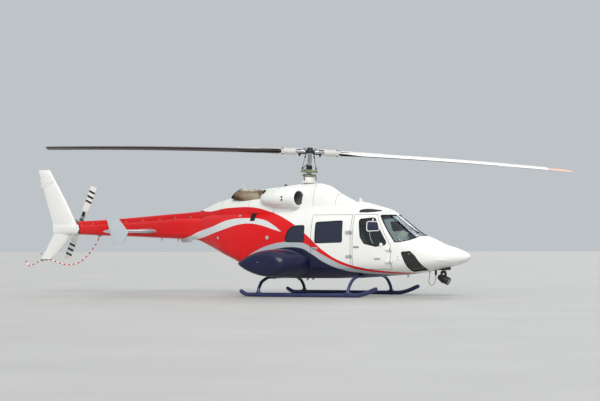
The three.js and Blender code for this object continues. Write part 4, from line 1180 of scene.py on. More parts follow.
def strip_on(skin, line, width, proud=0.0015, depth=0.003, side=-1):
    """A narrow band along a line of x and z on the skin's side."""
    left, right = [], []
    for i, point in enumerate(line):
        before, after = line[max(i - 1, 0)], line[min(i + 1, len(line) - 1)]
        along = np.array([after[0] - before[0], after[1] - before[1]])
        across = np.array([-along[1], along[0]]) / norm(along) * width / 2
        left.append((point[0] + across[0], point[1] + across[1]))
        right.append((point[0] - across[0], point[1] - across[1]))
    return patch(skin, left + right[::-1], proud, depth, side=side)


def hoop_on(skin, x, width=0.006, proud=0.0012, depth=0.003):
    """A narrow band round the whole skin."""
    return carved(skin.solid(-proud, x - width / 2, x + width / 2, 0.003),
                  (OFF, skin.solid(depth, x - width, x + width, 0.003)))


def stud(place, direction, profile, segments=16):
    """A turned detail standing on a surface, its profile as (radius, height)."""
    return moved(turned(profile, segments), place, aim(direction))


def around(count, radius):
    """Places evenly spaced on a circle."""
    return [(radius * cos(2 * pi * k / count), radius * sin(2 * pi * k / count)) for k in range(count)]


def hex_bolt(place, direction, across=0.02, height=0.012):
    head = turned([(0, 0), (across / 2, 0), (across / 2, height * 0.8), (across * 0.42, height), (0, height)],
        6)
    return moved(head, place, aim(direction))


def foil_loft(stations, place, count=48):
    """A loft through aerofoils given as (distance, leading, trailing, thickness)."""
    return outward(lofted([
        [place(d, along, height) for along, height in aerofoil(leading, trailing, thick, count)]
        for d, leading, trailing, thick in stations]))


def banded(rings, pick):
    """A capped loft whose every segment has the finish that pick gives for its number."""
    points, faces = outward(lofted(rings))
    size = len(rings[0])
    grouped = {}
    last = len(rings) - 2
    segments = [number // size for number in range(size * (last + 1))] + [0, last]
    for segment, face in zip(segments, faces):
        grouped.setdefault(pick(segment), []).append(face)
    return [((points, group), surface) for surface, group in grouped.items()]


# Tail boom and tail


FIN_TOP = mm(
    "1600 -6690 -7440 150, 1840 -6800 -7520 140, 2400 -7105 -7700 110, 3080 -7523 -7915 87, "
    "3175 -7582 -7945 84, 3192 -7596 -7947 66, 3200 -7612 -7944 30")
FIN_FOOT = mm("880 -7560 -7885 76, 1060 -7330 -7760 96, 1320 -7080 -7600 120, 1600 -6860 -7440 150")
FIN_ROOT = mm(
    "-7480 1520 1790 36 1640 2400 2400, -7200 1512 1785 92 1640 2600 2600, "
    "-6900 1510 1775 142 1640 2800 2800, -6672 1512 1768 162 1640 2800 2800")
BEAK = mm("-6665 1790, -6580 1667, -6668 1512")
GUARD_PATH = mm(
    "-6056 0 1478, -6170 0 1290, -6400 0 1020, -6670 0 812, -6930 0 742, -7200 0 752, -7400 0 810, "
    "-7600 0 862, -7885 0 842, -8010 0 795, -8170 0 722, -8250 0 706, -8320 0 765, -8370 0 840")
GUARD_RADIUS = 0.015
GUARD_STRIPE = 0.072
TAILPLANE = mm("150 -4235 -4960 96, 900 -4252 -4921 86, 1659.7 -4270 -4880 76")
TAILPLANE_Z = 1.592
END_PLATE = mm("-4820 2040, -4570 2050, -4160 1570, -4320 1290, -4610 1290")
END_PLATE_Y = (-1.688, -1.66)
TAIL_HUB = (-6.95, 0.45, 1.81)
TAIL_LEAN = radians(24.5)
TAIL_BLADE = mm(
    "200.4 42 -42 44, 300 70 -70 38, 420 95 -95 32, 588 95 -95 29, 643 95 -95 28, 716 95 -95 27, "
    "776 95 -95 26, 853 95 -95 24, 908 95 -95 23, 1024 95 -95 20, 1030 90 -92 12")
BLACK_BANDS = (3, 5, 7)


class HELICOPTER_OT_boom(Operator):
    """Makes the tail boom and the cover over its drive shaft"""
    bl_idname = "helicopter.boom"
    bl_label = "Tail boom"

    def execute(self, context):
        boom = moved(BOOM.solid(step=0.04), (-0.0003, 0, 0))
        make_piece("boom_shell", [(boom, "livery")], "tail_boom", skins=[BOOM])
        cover = carved(SHAFT_COVER.solid(step=0.04), (OFF, BOOM.solid(-0.0006, step=0.04)))
        make_piece("shaft_fairing", [(cover, "livery")], "drive_shaft_cover", skins=[SHAFT_COVER])
        hoops = [(hoop_on(BOOM, x), "red") for x in (-3.42, -4.06, -4.98, -5.6, -6.24)]
        latches = []
        for x in (-3.3, -3.75, -4.2, -4.7, -5.2, -5.7, -6.2, -6.55):
            half = SHAFT_COVER.at(x)[2]
            for side in (-1, 1):
                y = side * (half - 0.004)
                latches.append((bar(x - 0.022, x + 0.022, y - 0.006, y + 0.006, BOOM.top_z(x, y) + 0.008,
                                    BOOM.top_z(x, y) + 0.03, 0.003), "steel"))
        make_piece("boom_hoops", hoops)
        make_piece("shaft_cover_latches", latches)
        return {"FINISHED"}


def make_fin():
    upright = lambda z, along, height: (along, height, z)
    root = Skin(FIN_ROOT)
    fin = carved(foil_loft(FIN_TOP, upright, 56), (ADD, foil_loft(FIN_FOOT, upright, 56)),
                 (ADD, root.solid(step=0.03, count=72)),
                 (KEEP, block(-8.5, -6.6723, -0.5, 0.5, 0.5, 3.4)),
                 (OFF, block(-8.5, -6.6, -0.5, 0.5, 3.018, 3.021)))
    make_piece("fin_shell", [(fin, "white")], "tail_fin", angle=30)
    beak = [(BEAK[0][0] - 0.3, BEAK[0][1]), *BEAK, (BEAK[2][0] - 0.3, BEAK[2][1])]
    collar = []
    # The black strip just ahead of the beak is partly the joint and partly a painted shadow at the end of the
    # boom.
    for side in (-1, 1):
        collar += [(patch(BOOM, beak, 0.003, 0.003, side=side), "white"),
                   (strip_on(BOOM, [(x + 0.018, z) for x, z in BEAK], 0.03, 0.002, 0.003, side), "seal")]
    tab = bar(-7.868, -7.792, -0.004, 0.004, 2.74, 2.96, 0.002)
    strip = bar(-7.632, -7.592, -0.004, 0.004, 1.07, 1.3, 0.002)
    loops = []
    for side in (-1, 1):
        rod = smooth_path([(-7.46, side * 0.036, 2.9), (-7.5, side * 0.1, 2.905), (-7.58, side * 0.15, 2.91),
                           (-7.8, side * 0.15, 2.91), (-7.86, side * 0.1, 2.905), (-7.85, side * 0.02, 2.9)],
                               0.02)
        loops.append((swept(rod, 0.006, 8), "white"))
        for x in (-7.455, -7.845):
            loops.append((stud((x, side * 0.02, 2.9), (0, side, 0), "0 0, 16 0, 12 22, 0 24"), "white"))
    light = stud((-7.868, 0, 1.02), (-1, 0, 0.1), "0 -20, 20 -20, 20 10, 14 30, 0 36")
    make_piece("fin_collar", collar)
    make_piece("fin_tabs_and_aerials", [(tab, "white"), (strip, "white"), *loops])
    make_piece("tail_light", [(light, "clear_lens")])


def make_guard():
    path = smooth_path(GUARD_PATH, GUARD_STRIPE / 6)
    parts = []
    for number, start in enumerate(range(0, len(path) - 1, 6)):
        chunk = path[start:start + 7]
        if len(chunk) > 1:
            parts.append((swept(chunk, GUARD_RADIUS, 16), "red" if number % 2 else "white"))
    parts.append((stud(path[-1], path[-1] - path[-2], "0 -12, 15.5 -12, 15.5 -4, 0 0.5"), "plastic"))
    make_piece("guard_tube", parts, "tail_guard", angle=50)
    clamp = [(bar(-6.11, -6.002, -0.045, 0.045, 1.476, 1.492, 0.004), "alloy"),
             (stud((-6.064, 0, 1.484), (-0.5, 0, -0.85), "0 0, 26 0, 24 50, 16.5 56, 0 56"), "alloy")]
    clamp += [(hex_bolt((x, y, 1.477), (0, 0, -1), 0.014, 0.008), "dark_steel")
              for x in (-6.098, -6.014) for y in (-0.032, 0.032)]
    foot = [(bar(-7.9, -7.7, -0.022, 0.022, 0.846, 0.882, 0.008), "alloy")]
    make_piece("guard_brackets", clamp + foot)


def make_tailplane():
    around_boom = BOOM.solid(-TOUCH_GAP, step=0.04)

    def wing(stations, count=56):
        return foil_loft(stations, lambda d, along, height: (along, -d, TAILPLANE_Z + height), count)

    starboard = carved(wing(TAILPLANE), (OFF, around_boom))
    sleeve = carved(wing(mm("100 -4215 -4985 122, 275 -4225 -4972 112")), (OFF, around_boom))
    plate = softened(prism(rounded(END_PLATE, 0.03), *END_PLATE_Y), 0.009, 3)
    plinth = wing(mm("1600 -4262 -4890 100, 1659.5 -4240 -4915 130"), 40)
    for side_name, side in SIDES:
        parts = [(mirrored(mesh, side), "silver") for mesh in (starboard, sleeve, plinth)]
        make_piece(f"tailplane_shell_{side_name}", parts, f"tailplane_{side_name}", angle=30)
        screws = [(hex_bolt((x, side * 1.688, z), (0, side, 0), 0.012, 0.003), "steel")
                  for x, z in mm("-4400 1592, -4520 1600, -4640 1600, -4760 1592")]
        make_piece(f"end_plate_skin_{side_name}", [(mirrored(plate, side), "grey_blue"), *screws],
                   f"end_plate_{side_name}", angle=30)


def make_gearbox():
    turn = aim((0, 1, 0))
    x, z = TAIL_HUB[0], TAIL_HUB[2]
    profile = mm(
        "0 0, 70 0, 82 30, 90 90, 104 100, 104.5 122, 94 130, 97 190, 103 200, 103 222, 90 230, 72 300, "
        "62 344, 60 379, 0 379")
    parts = [(moved(turned(profile, 40), (x, 0.0, z), turn), "olive")]
    parts += [(hex_bolt((x + dx, 0.1225, z + dz), (0, 1, 0), 0.012, 0.009), "steel")
        for dx, dz in around(10, 0.098)]
    for k in range(8):
        angle = 2 * pi * (k + 0.5) / 8
        fin = bar(-0.004, 0.004, 0.13, 0.19, 0.09, 0.104, 0.002)
        parts.append((moved(fin, (x, 0, z), rotation(angle, "Y")), "olive"))
    sight = stud((x + 0.06, 0.16, z - 0.08), (0.6, 0.2, -0.8), "0 0, 16 0, 16 22, 10 26, 0 26")
    make_piece("gearbox_case", parts + [(sight, "steel")], "tail_gearbox")


class HELICOPTER_OT_tail(Operator):
    """Makes the fin, its guard tube, the gearbox, the tailplane and its end plates"""
    bl_idname = "helicopter.tail"
    bl_label = "Fin and tailplane"

    def execute(self, context):
        make_fin()
        make_guard()
        make_tailplane()
        make_gearbox()
        return {"FINISHED"}


class HELICOPTER_OT_tail_rotor(Operator):
    """Makes the two-bladed tail rotor"""
    bl_idname = "helicopter.tail_rotor"
    bl_label = "Tail rotor"

    def execute(self, context):
        turn = rotation(TAIL_LEAN, "Y")
        flat = lambda d, along, height: (along, height, d)
        rings = [[flat(d, along, height) for along, height in aerofoil(leading, trailing, thick, 36)]
                 for d, leading, trailing, thick in TAIL_BLADE]
        parts = banded(rings, lambda k: "black_gloss" if k in BLACK_BANDS else "blade_white")
        parts.append((bar(-0.046, 0.046, -0.0245, 0.0245, 0.2006, 0.33, 0.006), "dark_steel"))
        parts += [(hex_bolt((0, face * 0.0245, z), (0, face, 0), 0.026, 0.012), "dark_steel")
                  for face in (-1, 1) for z in (0.235, 0.295)]
        for number, flip in ((1, None), (2, rotation(pi, "Y"))):
            placed = all_moved(all_moved(parts, turn=flip), TAIL_HUB, turn)
            make_piece(f"tail_blade_skin_{number}", placed, f"tail_blade_{number}", "tail_rotor", angle=28)
        along_y = aim((0, 1, 0))
        hub = [
            (bar(-0.046, 0.046, -0.024, 0.024, -0.1998, 0.1998, 0.008), "alloy"),
            (moved(turned([(0, -0.065), (0.03, -0.065), (0.038, -0.058), (0.038, 0.024), (0.0595, 0.026),
                           (0.0595, 0.052), (0.05, 0.0548), (0, 0.0548)], 32), turn=along_y), "alloy"),
            (moved(turned("0 -64, 16 -64, 22 -60, 22 -50, 0 -50", 6),
                   (0, -0.004, 0), along_y), "dark_steel"),
        ]
        for z in (-0.1, 0.1):
            hub.append((bar(-0.058, 0.058, -0.03, 0.01, z - 0.018, z + 0.018, 0.005), "dark_steel"))
            hub.append((swept([(0.052, 0.0, z), (0.056, 0.03, z * 0.9), (0.05, 0.052, z * 0.4)], 0.006, 10),
                "steel"))
        placed = all_moved(hub, TAIL_HUB, turn)
        make_piece("tail_rotor_yoke", placed, "tail_rotor_hub", "tail_rotor")
        return {"FINISHED"}


# Sponsons, skids and pylon


# y, aft x, front x, height, middle z
SPONSON = mm(
    "-590 -1420 420 690 800, -1000 -1385 300 680 800, -1300 -1290 150 640 800, -1450 -1225 75 592 796, "
    "-1540 -1160 -20 500 791, -1578 -1090 -115 390 787, -1592 -1000 -230 230 785")
SKID_Y = 1.22
SKID_RADIUS = 0.05
SKID_PATH = mm(
    "-1285 150, -1215 100, -1120 60, -1030 50, -500 50, 300 50, 1200 50, 1760 50, 1900 62, 2060 104, "
    "2200 160, 2330 214")
CROSS_TUBES = {"front": (1.587, 0.48), "rear": (-0.797, 0.452)}
CROSS_TUBE_RADIUS = 0.038


class HELICOPTER_OT_sponsons(Operator):
    """Makes the two sponsons with their fuel cap, lamp and latches"""
    bl_idname = "helicopter.sponsons"
    bl_label = "Sponsons"

    def execute(self, context):
        rows = np.array(SPONSON)[::-1]
        stations = np.concatenate([np.linspace(-1.592, -1.54, 7)[:-1], np.linspace(-1.54, -1.3, 9)[:-1],
                                   np.linspace(-1.3, -0.59, 10)])
        aft, front, height, middle = (monotone(rows[:, 0], rows[:, c], stations) for c in range(1, 5))
        rings = [[(along, y, mid + h) for along, h in aerofoil(f, a, tall, 64)]
                 for y, a, f, tall, mid in zip(stations, aft, front, height, middle)]
        body = carved(outward(lofted(rings)), (OFF, HULL.solid(-TOUCH_GAP)))
        cap = stud((-0.475, -1.0, 1.123), (0, -0.05, 1), "0 -12, 62 -12, 62 4, 52 8, 46 4, 0 4", 36)
        lever = bar(-0.505, -0.445, -1.012, -0.988, 1.124, 1.134, 0.004)
        lamp = stud((-0.62, -1.578, 0.86), (0, -1, 0.15), "0 -20, 45 -20, 45 4, 36 10, 0 13", 28)
        drain = stud((-0.6, -1.15, 0.478), (0, 0, -1), "0 0, 22 0, 18 14, 0 16")
        for side_name, side in SIDES:
            parts = all_mirrored([(body, "navy"), (cap, "alloy"), (lever, "steel"), (drain, "alloy")], side)
            make_piece(f"sponson_shell_{side_name}", parts, f"sponson_{side_name}", angle=40)
            make_piece(f"sponson_lamp_{side_name}", [(mirrored(lamp, side), "clear_lens")])
        return {"FINISHED"}


def make_cross_tube(end, x, z):
    half = [(SKID_Y + dy, height) for dy, height in (
        (0.005, 0.092), (-0.015, 0.18), (-0.07, 0.252), (-0.17, 0.345), (-0.29, z - 0.062),
        (-0.42, z - 0.022), (-0.56, z), (-0.82, z))]
    line = [(x, y, height) for y, height in half] + [(x, 0, z)] + [(x, -y, height)
        for y, height in half[::-1]]
    parts = [(swept(smooth_path(line, 0.03), CROSS_TUBE_RADIUS, 24), "skid")]
    for side in (-1, 1):
        y = side * SKID_Y
        parts.append((bar(x - 0.072, x + 0.072, y - 0.054, y + 0.054, 0.07, 0.104, 0.014), "skid"))
        boot = turned("36 0, 52 0, 50 20, 42 36, 36 36", 28)
        parts.append((moved(boot, (x, y, 0.102)), "skid"))
        for dx in (-0.056, 0.056):
            ring = moved(turned("49.5 -14, 56 -14, 56 14, 49.5 14", 32), (x + dx, y, 0.05), aim((1, 0, 0)))
            ring[0][:, 2] = np.maximum(ring[0][:, 2], 0.001)
            parts.append((ring, "skid"))
            for dy in (-0.042, 0.042):
                parts.append((hex_bolt((x + dx, y + dy, 0.103), (0, 0, 1), 0.016, 0.01), "steel"))
    make_piece(f"cross_tube_bar_{end}", parts, f"cross_tube_{end}", angle=40)


class HELICOPTER_OT_skids(Operator):
    """Makes the skids, their wear shoes, the cross tubes and the clamps"""
    bl_idname = "helicopter.skids"
    bl_label = "Skid landing gear"

    def execute(self, context):
        path = smooth_path([(x, -SKID_Y, z) for x, z in SKID_PATH], 0.03)
        radii = np.full(len(path), SKID_RADIUS)
        for k, share in enumerate((0.72, 0.93, 1.0)):
            radii[k] = radii[-1 - k] = SKID_RADIUS * share
        tube = swept(path, radii, 32)
        tube[0][:, 2] = np.maximum(tube[0][:, 2], 0.0)
        shoe = bar(-1.0, 1.74, -SKID_Y - 0.024, -SKID_Y + 0.024, 0.0, 0.012, 0.003)
        plugs = [(stud(end, end - inner, "0 -10, 33 -10, 33 6, 0 12", 24), "plastic")
                 for end, inner in ((path[0], path[1]), (path[-1], path[-2]))]
        bolts = [(hex_bolt((x, -SKID_Y + y, 0.0125), (0, 0, 1), 0.01, 0.004), "steel")
                 for x in np.arange(-0.9, 1.7, 0.26) for y in (-0.018, 0.018)]
        for side_name, side in SIDES:
            parts = all_mirrored([(tube, "skid"), (shoe, "dark_steel"), *plugs, *bolts], side)
            make_piece(f"skid_tube_{side_name}", parts, f"skid_{side_name}", angle=40)
        for end, (x, z) in CROSS_TUBES.items():
            make_cross_tube(end, x, z)
        return {"FINISHED"}


# The intakes; the mouth's plane runs back by a share of the distance outwards, and by a setback
INTAKE = {"y": 0.545, "z": 2.362, "radius": 0.222, "mouth": 0.165, "lip": 0.07, "depth": 0.38,
          "splay": 0.276, "setback": 0.095}
EXHAUST_Y = 0.35
EXHAUST_RADIUS = 0.155
EXHAUST_WALL = 0.012
EXHAUST_SIDES = 56
EXHAUST_LINE = mm("-1050 2425, -1350 2425, -1600 2436, -1800 2478, -2060 2575")
EXHAUST_RIM = mm("-1968 2378, -1689 2610")
MAST_TILT = radians(3.24)
HUB_Z = 3.486


def give(node, surface):
    """Puts a finish on a CAD node that stays in view."""
    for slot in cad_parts[node].material_slots:
        slot.material = finish(surface)


def barrel_shape():
    lip, radius = INTAKE["lip"], INTAKE["radius"]
    profile = [(0, -1.08), (0.06, -1.055), (0.112, -1.01), (0.15, -0.915), (0.182, -0.8), (0.206, -0.69),
               (radius - 0.004, -0.6), (radius, -0.54), (radius, 0.0), (radius - 0.004, 0.024),
               (radius - 0.014, 0.046), (radius - 0.028, 0.062), (radius - 0.041, lip), (0, lip)]
    return splayed(moved(turned(profile, 72), (0, -INTAKE["y"], INTAKE["z"]), aim((1, 0, 0))))


def splayed(mesh):
    """An intake's front sheared back on its outer side, so that the mouth faces a little outwards."""
    points = np.array(mesh[0])
    share = np.clip((points[:, 0] + 0.6) / 0.5, 0, 1)
    points[:, 0] -= share * (INTAKE["splay"] * (np.abs(points[:, 1]) - INTAKE["y"]) + INTAKE["setback"])
    return points, mesh[1]


def bore():
    mouth, lip, depth = INTAKE["mouth"], INTAKE["lip"], INTAKE["depth"]
    profile = [(0, lip - depth), (mouth - 0.02, lip - depth), (mouth, lip - depth + 0.03),
        (mouth, lip - 0.04),
               (mouth + 0.004, lip - 0.016), (mouth + 0.012, lip - 0.004), (mouth + 0.018, lip + 0.002),
                   (0, lip + 0.002)]
    return splayed(moved(turned(profile, 72), (0, -INTAKE["y"], INTAKE["z"]), aim((1, 0, 0))))


def pipe_shape(radius, start=-1.05):
    line = [(start, 0, EXHAUST_LINE[0][1])] + [(x, 0, z) for x, z in EXHAUST_LINE[1:]]
    points, faces = swept(smooth_path(line, 0.03), radius, EXHAUST_SIDES)
    return points + (0, -EXHAUST_Y, 0), faces


def make_fairing():
    deeper = Skin([(x, bottom - 0.3, *rest) for x, bottom, *rest in COWLING_STATIONS])
    hollow = deeper.solid(0.035, -2.4, 1.0)
    hole = moved(turned("0 -300, 120 -300, 120 300, 0 300", 48), (-0.045, 0, 2.7), rotation(MAST_TILT, "Y"))
    shell = carved(COWLING.solid(step=0.02, count=112), (OFF, hollow),
                   (ADD, barrel_shape()), (ADD, mirrored(barrel_shape(), 1)),
                   (OFF, bore()), (OFF, mirrored(bore(), 1)),
                   (OFF, pipe_shape(EXHAUST_RADIUS + 0.001)),
                   (OFF, mirrored(pipe_shape(EXHAUST_RADIUS + 0.001), 1)), (OFF, hole),
                   (OFF, HULL.solid(-0.0015)), (OFF, BOOM.solid(-0.0015)),
                   (OFF, SHAFT_COVER.solid(-0.0015)))
    points, faces = largest(shell)
    centres = np.array([points[list(face)].mean(0) for face in faces])
    off_axis = np.hypot(np.abs(centres[:, 1]) - INTAKE["y"], centres[:, 2] - INTAKE["z"])
    behind = centres[:, 0] + INTAKE["splay"] * (np.abs(centres[:, 1]) - INTAKE["y"]) < INTAKE["lip"] - 0.105
    duct = (off_axis < INTAKE["mouth"] + 0.002) & (centres[:, 0] > -0.6) & behind
    parts = [((points, [face for face, hid in zip(faces, duct) if hid == lined]), surface)
             for lined, surface in ((False, "livery"), (True, "trim"))]
    make_piece("pylon_shell", parts, "pylon_fairing", angle=32, skins=[COWLING])


def make_exhausts():
    (low_x, low_z), (high_x, high_z) = EXHAUST_RIM
    along = np.array([high_x - low_x, high_z - low_z])
    along /= norm(along)
    off = np.array([-along[1], along[0]])
    corner = np.array([low_x, low_z])
    outline = [tuple(corner + along * a + off * b) for a, b in mm("-900 0, 900 0, 900 900, -900 900")]
    cutter = prism(outline, -0.8, 0.8)
    outer = pipe_shape(EXHAUST_RADIUS)
    pipe = carved(outer, (OFF, pipe_shape(EXHAUST_RADIUS - EXHAUST_WALL, -1.09)), (OFF, cutter))
    pipe = largest(pipe)
    rim = rim_loop(outer, corner, off)
    centres = np.array([pipe[0][list(face)].mean(0) for face in pipe[1]])
    back, heights = [-x for x, z in EXHAUST_LINE], [z for x, z in EXHAUST_LINE]
    middle = np.stack([centres[:, 0], np.full(len(centres), -EXHAUST_Y),
                       np.interp(-centres[:, 0], back, heights)], 1)
    inside = norm(centres - middle, axis=1) < EXHAUST_RADIUS - 0.007
    parts = [((pipe[0], [f for f, hid in zip(pipe[1], inside) if not hid]), "exhaust"),
             ((pipe[0], [f for f, hid in zip(pipe[1], inside) if hid]), "soot"),
             (swept(rim, 0.006, 10), "soot")]
    for x in (-1.22, -1.46):
        band = turned([(EXHAUST_RADIUS, -0.011), (EXHAUST_RADIUS + 0.005, -0.011),
                       (EXHAUST_RADIUS + 0.005, 0.011), (EXHAUST_RADIUS, 0.011)], EXHAUST_SIDES)
        z = float(np.interp(-x, back, heights))
        parts.append((moved(band, (x, -EXHAUST_Y, z), aim((1, 0, 0))), "exhaust"))
    for side_name, side in SIDES:
        make_piece(f"exhaust_pipe_{side_name}", all_mirrored(parts, side), f"exhaust_{side_name}", angle=40)


def rim_loop(outer, corner, off):
    """The closed line where the mouth's plane meets the pipe's outer wall."""
    rings = np.asarray(outer[0]).reshape(-1, EXHAUST_SIDES, 3)
    height = (rings[:, :, 0] - corner[0]) * off[0] + (rings[:, :, 2] - corner[1]) * off[1]
    loop = []
    for k in range(EXHAUST_SIDES):
        for i in range(len(rings) - 1):
            a, b = height[i, k], height[i + 1, k]
            if a <= 0 < b or b <= 0 < a:
                loop.append(rings[i, k] + (rings[i + 1, k] - rings[i, k]) * (-a / (b - a)))
                break
    loop = np.array(loop)
    return np.vstack([loop, loop[:1]])


def make_details():
    parts = []
    for side_name, side in SIDES:
        screen = inlet_guard(side)
        make_piece(f"intake_guard_{side_name}", screen)
        for z in (2.392, 2.322):
            vent = bar(-0.412, -0.368, -INTAKE["y"] - 0.2245, -INTAKE["y"] - 0.2, z - 0.022, z + 0.022, 0.003)
            parts.append((mirrored(vent, side), "plastic"))
    for x in (-2.3, -1.42, -0.72, 0.28, 0.84):
        parts.append((hoop_on(COWLING, x, 0.005, 0.0008, 0.002), "seal"))
    room = [(OFF, HULL.solid(-0.001)), (OFF, barrel_shape()), (OFF, mirrored(barrel_shape(), 1)),
            (OFF, pipe_shape(EXHAUST_RADIUS + 0.003)),
            (OFF, mirrored(pipe_shape(EXHAUST_RADIUS + 0.003), 1))]
    parts = [(carved(mesh, *room), surface) if surface == "seal" else (mesh, surface)
        for mesh, surface in parts]
    make_piece("pylon_seams_and_vents", [part for part in parts if len(part[0][1])])


def inlet_guard(side):
    """A streamlined hub and struts at the back of an intake's bore."""
    back = INTAKE["lip"] - INTAKE["depth"]
    centre = (back, side * INTAKE["y"], INTAKE["z"])
    bullet = moved(turned("0 120, 22 112, 40 85, 50 45, 52 1, 0 1", 32), centre, aim((1, 0, 0)))
    # The thin dark disc behind the bullet, in the sooted steel finish, is painted shade for the duct's dark
    # depth.
    parts = [(bullet, "alloy"), (moved(turned("0 1, 144 1, 144 4, 0 4", 48), centre, aim((1, 0, 0))), "soot")]
    for k in range(12):
        vane = bar(0.006, 0.034, -0.0015, 0.0015, 0.046, 0.15, 0.001)
        vane = moved(vane, centre, rotation(2 * pi * k / 12, "X") @ rotation(0.5, "Z"))
        parts.append((vane, "dark_steel"))
    return [(splayed(mesh), surface) for mesh, surface in parts]


class HELICOPTER_OT_pylon(Operator):
    """Makes the fairing over the engines with its intakes, and the exhausts"""
    bl_idname = "helicopter.pylon"
    bl_label = "Pylon and exhausts"

    def execute(self, context):
        make_fairing()
        make_exhausts()
        make_details()
        for node in ("engine_block", "rotor_gearbox"):
            give(node, "dark_steel")
        give("aft_bulkhead", "trim")
        return {"FINISHED"}


# Main rotor


BLADE_STATIONS = mm(
    "702 78 -78 92, 930 110 -170 92, 1060 140 -330 91, 1200 165 -470 89, 1300 175 -525 88, "
    "2450 175 -525 81, 3600 175 -525 74, 4800 175 -525 63, 6020 175 -525 55, 6340 173 -523 51, "
    "6385 156 -510 38, 6400 150 -505 26")
BLADE_DROOP = 0.173
# How wide the dark guard on a blade's nose is, dark partly as its own paint and partly as painted shade, and
# where the orange tip starts
BLADE_NOSE = 0.11
ORANGE_FROM = 5.7
BLADE_PITCH = radians(5)
BLADE_AZIMUTH = radians(28.6)
ROTOR_TURN = rotation(MAST_TILT, "Y") @ rotation(BLADE_AZIMUTH, "Z")
ROTOR_CENTRE = (0.0, 0.0, HUB_Z)


def make_base():
    tilt = rotation(MAST_TILT, "Y")
    profile = mm(
        "62 -960, 112 -960, 112 -757, 188 -745, 203 -741, 205 -725, 203 -712, 188 -706, 164 -700, 160 -680, "
        "150 -645, 136 -615, 120 -590, 62 -585")
    ring = mm("62 -592, 150 -588, 160 -580, 160 -555, 150 -546, 62 -532")
    parts = [(turned(profile, 56), "blade_white"), (turned(ring, 56), "olive")]
    parts += [(hex_bolt((x, y, -0.7115), (0, 0, 1), 0.018, 0.013), "steel") for x, y in around(12, 0.19)]
    for angle in (0.6, 2.5, 4.4):
        rod = [(0.15 * cos(angle), 0.15 * sin(angle), -0.535),
               (0.185 * cos(angle + 0.12), 0.185 * sin(angle + 0.12), -0.64),
               (0.14 * cos(angle + 0.2), 0.14 * sin(angle + 0.2), -0.705)]
        parts.append((swept(smooth_path(rod, 0.02), 0.01, 12), "dark_steel"))
    make_piece("mast_pedestal", all_moved(parts, ROTOR_CENTRE, tilt), "mast_base")


def make_hub():
    half = rotation(pi, "Z")
    lone = [
        (turned("0 -930, 52 -930, 52 -360, 52 -50, 0 -50", 36), "steel"),
        (turned("0 -420, 70 -420, 78 -412, 72 -400, 78 -388, 72 -376, 77 -364, 70 -352, 74 -340, 66 -326, "
                "53 -320, 0 -320", 36), "rubber"),
        (turned("0 -515, 58 -515, 75 -500, 100 -492, 185 -498, 198 -494, 200 -478, 197 -462, 180 -457, "
                "120 -455, 105 -440, 70 -430, 0 -430", 56), "olive"),
        (turned("0 -34, 148 -34, 150 -28, 150 36, 142 45, 75 48, 70 60, 70 104, 60 110, 36 108, 0 108", 48),
         "dark_steel"),
        (turned("0 100, 30 100, 30 114, 24 119.5, 0 119.5", 6), "steel"),
        (bar(-0.35, 0.35, -0.095, 0.095, -0.034, 0.034, 0.014), "alloy"),
    ]
    twin = [
        (stud((0.335, 0, 0), (1, 0, 0),
            "0 0, 80 0, 83 6, 83 30, 79 36, 76 200, 80 206, 80 226, 75 232, 74 345, "
              "64 360, 0 360", 40), "grip"),
        (bar(0.63, 0.7, -0.088, 0.088, -0.06, 0.06, 0.012), "grip"),
        (bar(0.08, 0.262, 0.06, 0.214, -0.058, -0.02, 0.01), "dark_steel"),
        (bar(0.12, 0.148, -0.068, 0.068, 0.02, 0.116, 0.01), "alloy"),
        (bar(0.215, 0.33, -0.06, 0.06, 0.034, 0.058, 0.006), "dark_steel"),
        (prism("200 -34, 300 -34, 250 -125", -0.022, 0.022), "dark_steel"),
        (stud((0.134, 0, 0.076), (0, 1, 0), "0 -78, 28 -78, 34 -70, 34 70, 28 78, 0 78", 24), "steel"),
        (swept(mm("190 190 -486, 145 190 -263, 100 190 -40"), 0.011, 14), "steel"),
        (swept(mm("179 190 -430, 165 190 -360"), 0.016, 14), "dark_steel"),
        (swept(mm("122 190 -150, 109 190 -85"), 0.016, 14), "dark_steel"),
        (stud((0.19, 0.172, -0.478), (0, 1, 0), "0 0, 22 0, 22 36, 0 36", 20), "steel"),
        (bar(0.14, 0.214, 0.15, 0.214, -0.498, -0.458, 0.01), "olive"),
        (bar(0.1, 0.2, -0.03, 0.03, -0.455, -0.436, 0.006), "olive"),
    ]
    for x in (0.245, 0.3):
        twin += [(hex_bolt((x, y, 0.058), (0, 0, 1), 0.03, 0.02), "steel") for y in (-0.038, 0.038)]
    for y in (-0.052, 0.052):
        pin = mm("0 0, 17 0, 17 30, 13 34, 13 205, 18 208, 18 236, 0 236")
        twin.append((stud((0.668, y, -0.118), (0, 0, 1), pin, 20), "grip"))
        twin.append((hex_bolt((0.668, y, 0.062), (0, 0, 1), 0.044, 0.018), "dark_steel"))
        twin.append((hex_bolt((0.668, y, -0.062), (0, 0, -1), 0.044, 0.018), "dark_steel"))
    lone += [(hex_bolt((x, y, 0.044), (0, 0, 1), 0.022, 0.012), "steel") for x, y in around(8, 0.128)]
    parts = lone + twin + all_moved(twin, turn=half)
    scissor = mm("-75 0 -440, -150 20 -400, -90 30 -330, -55 0 -300")
    parts.append((swept(scissor, 0.013, 12), "olive"))
    placed = all_moved(parts, ROTOR_CENTRE, ROTOR_TURN)
    make_piece("rotor_head", placed, "main_rotor_hub", "main_rotor", angle=32)


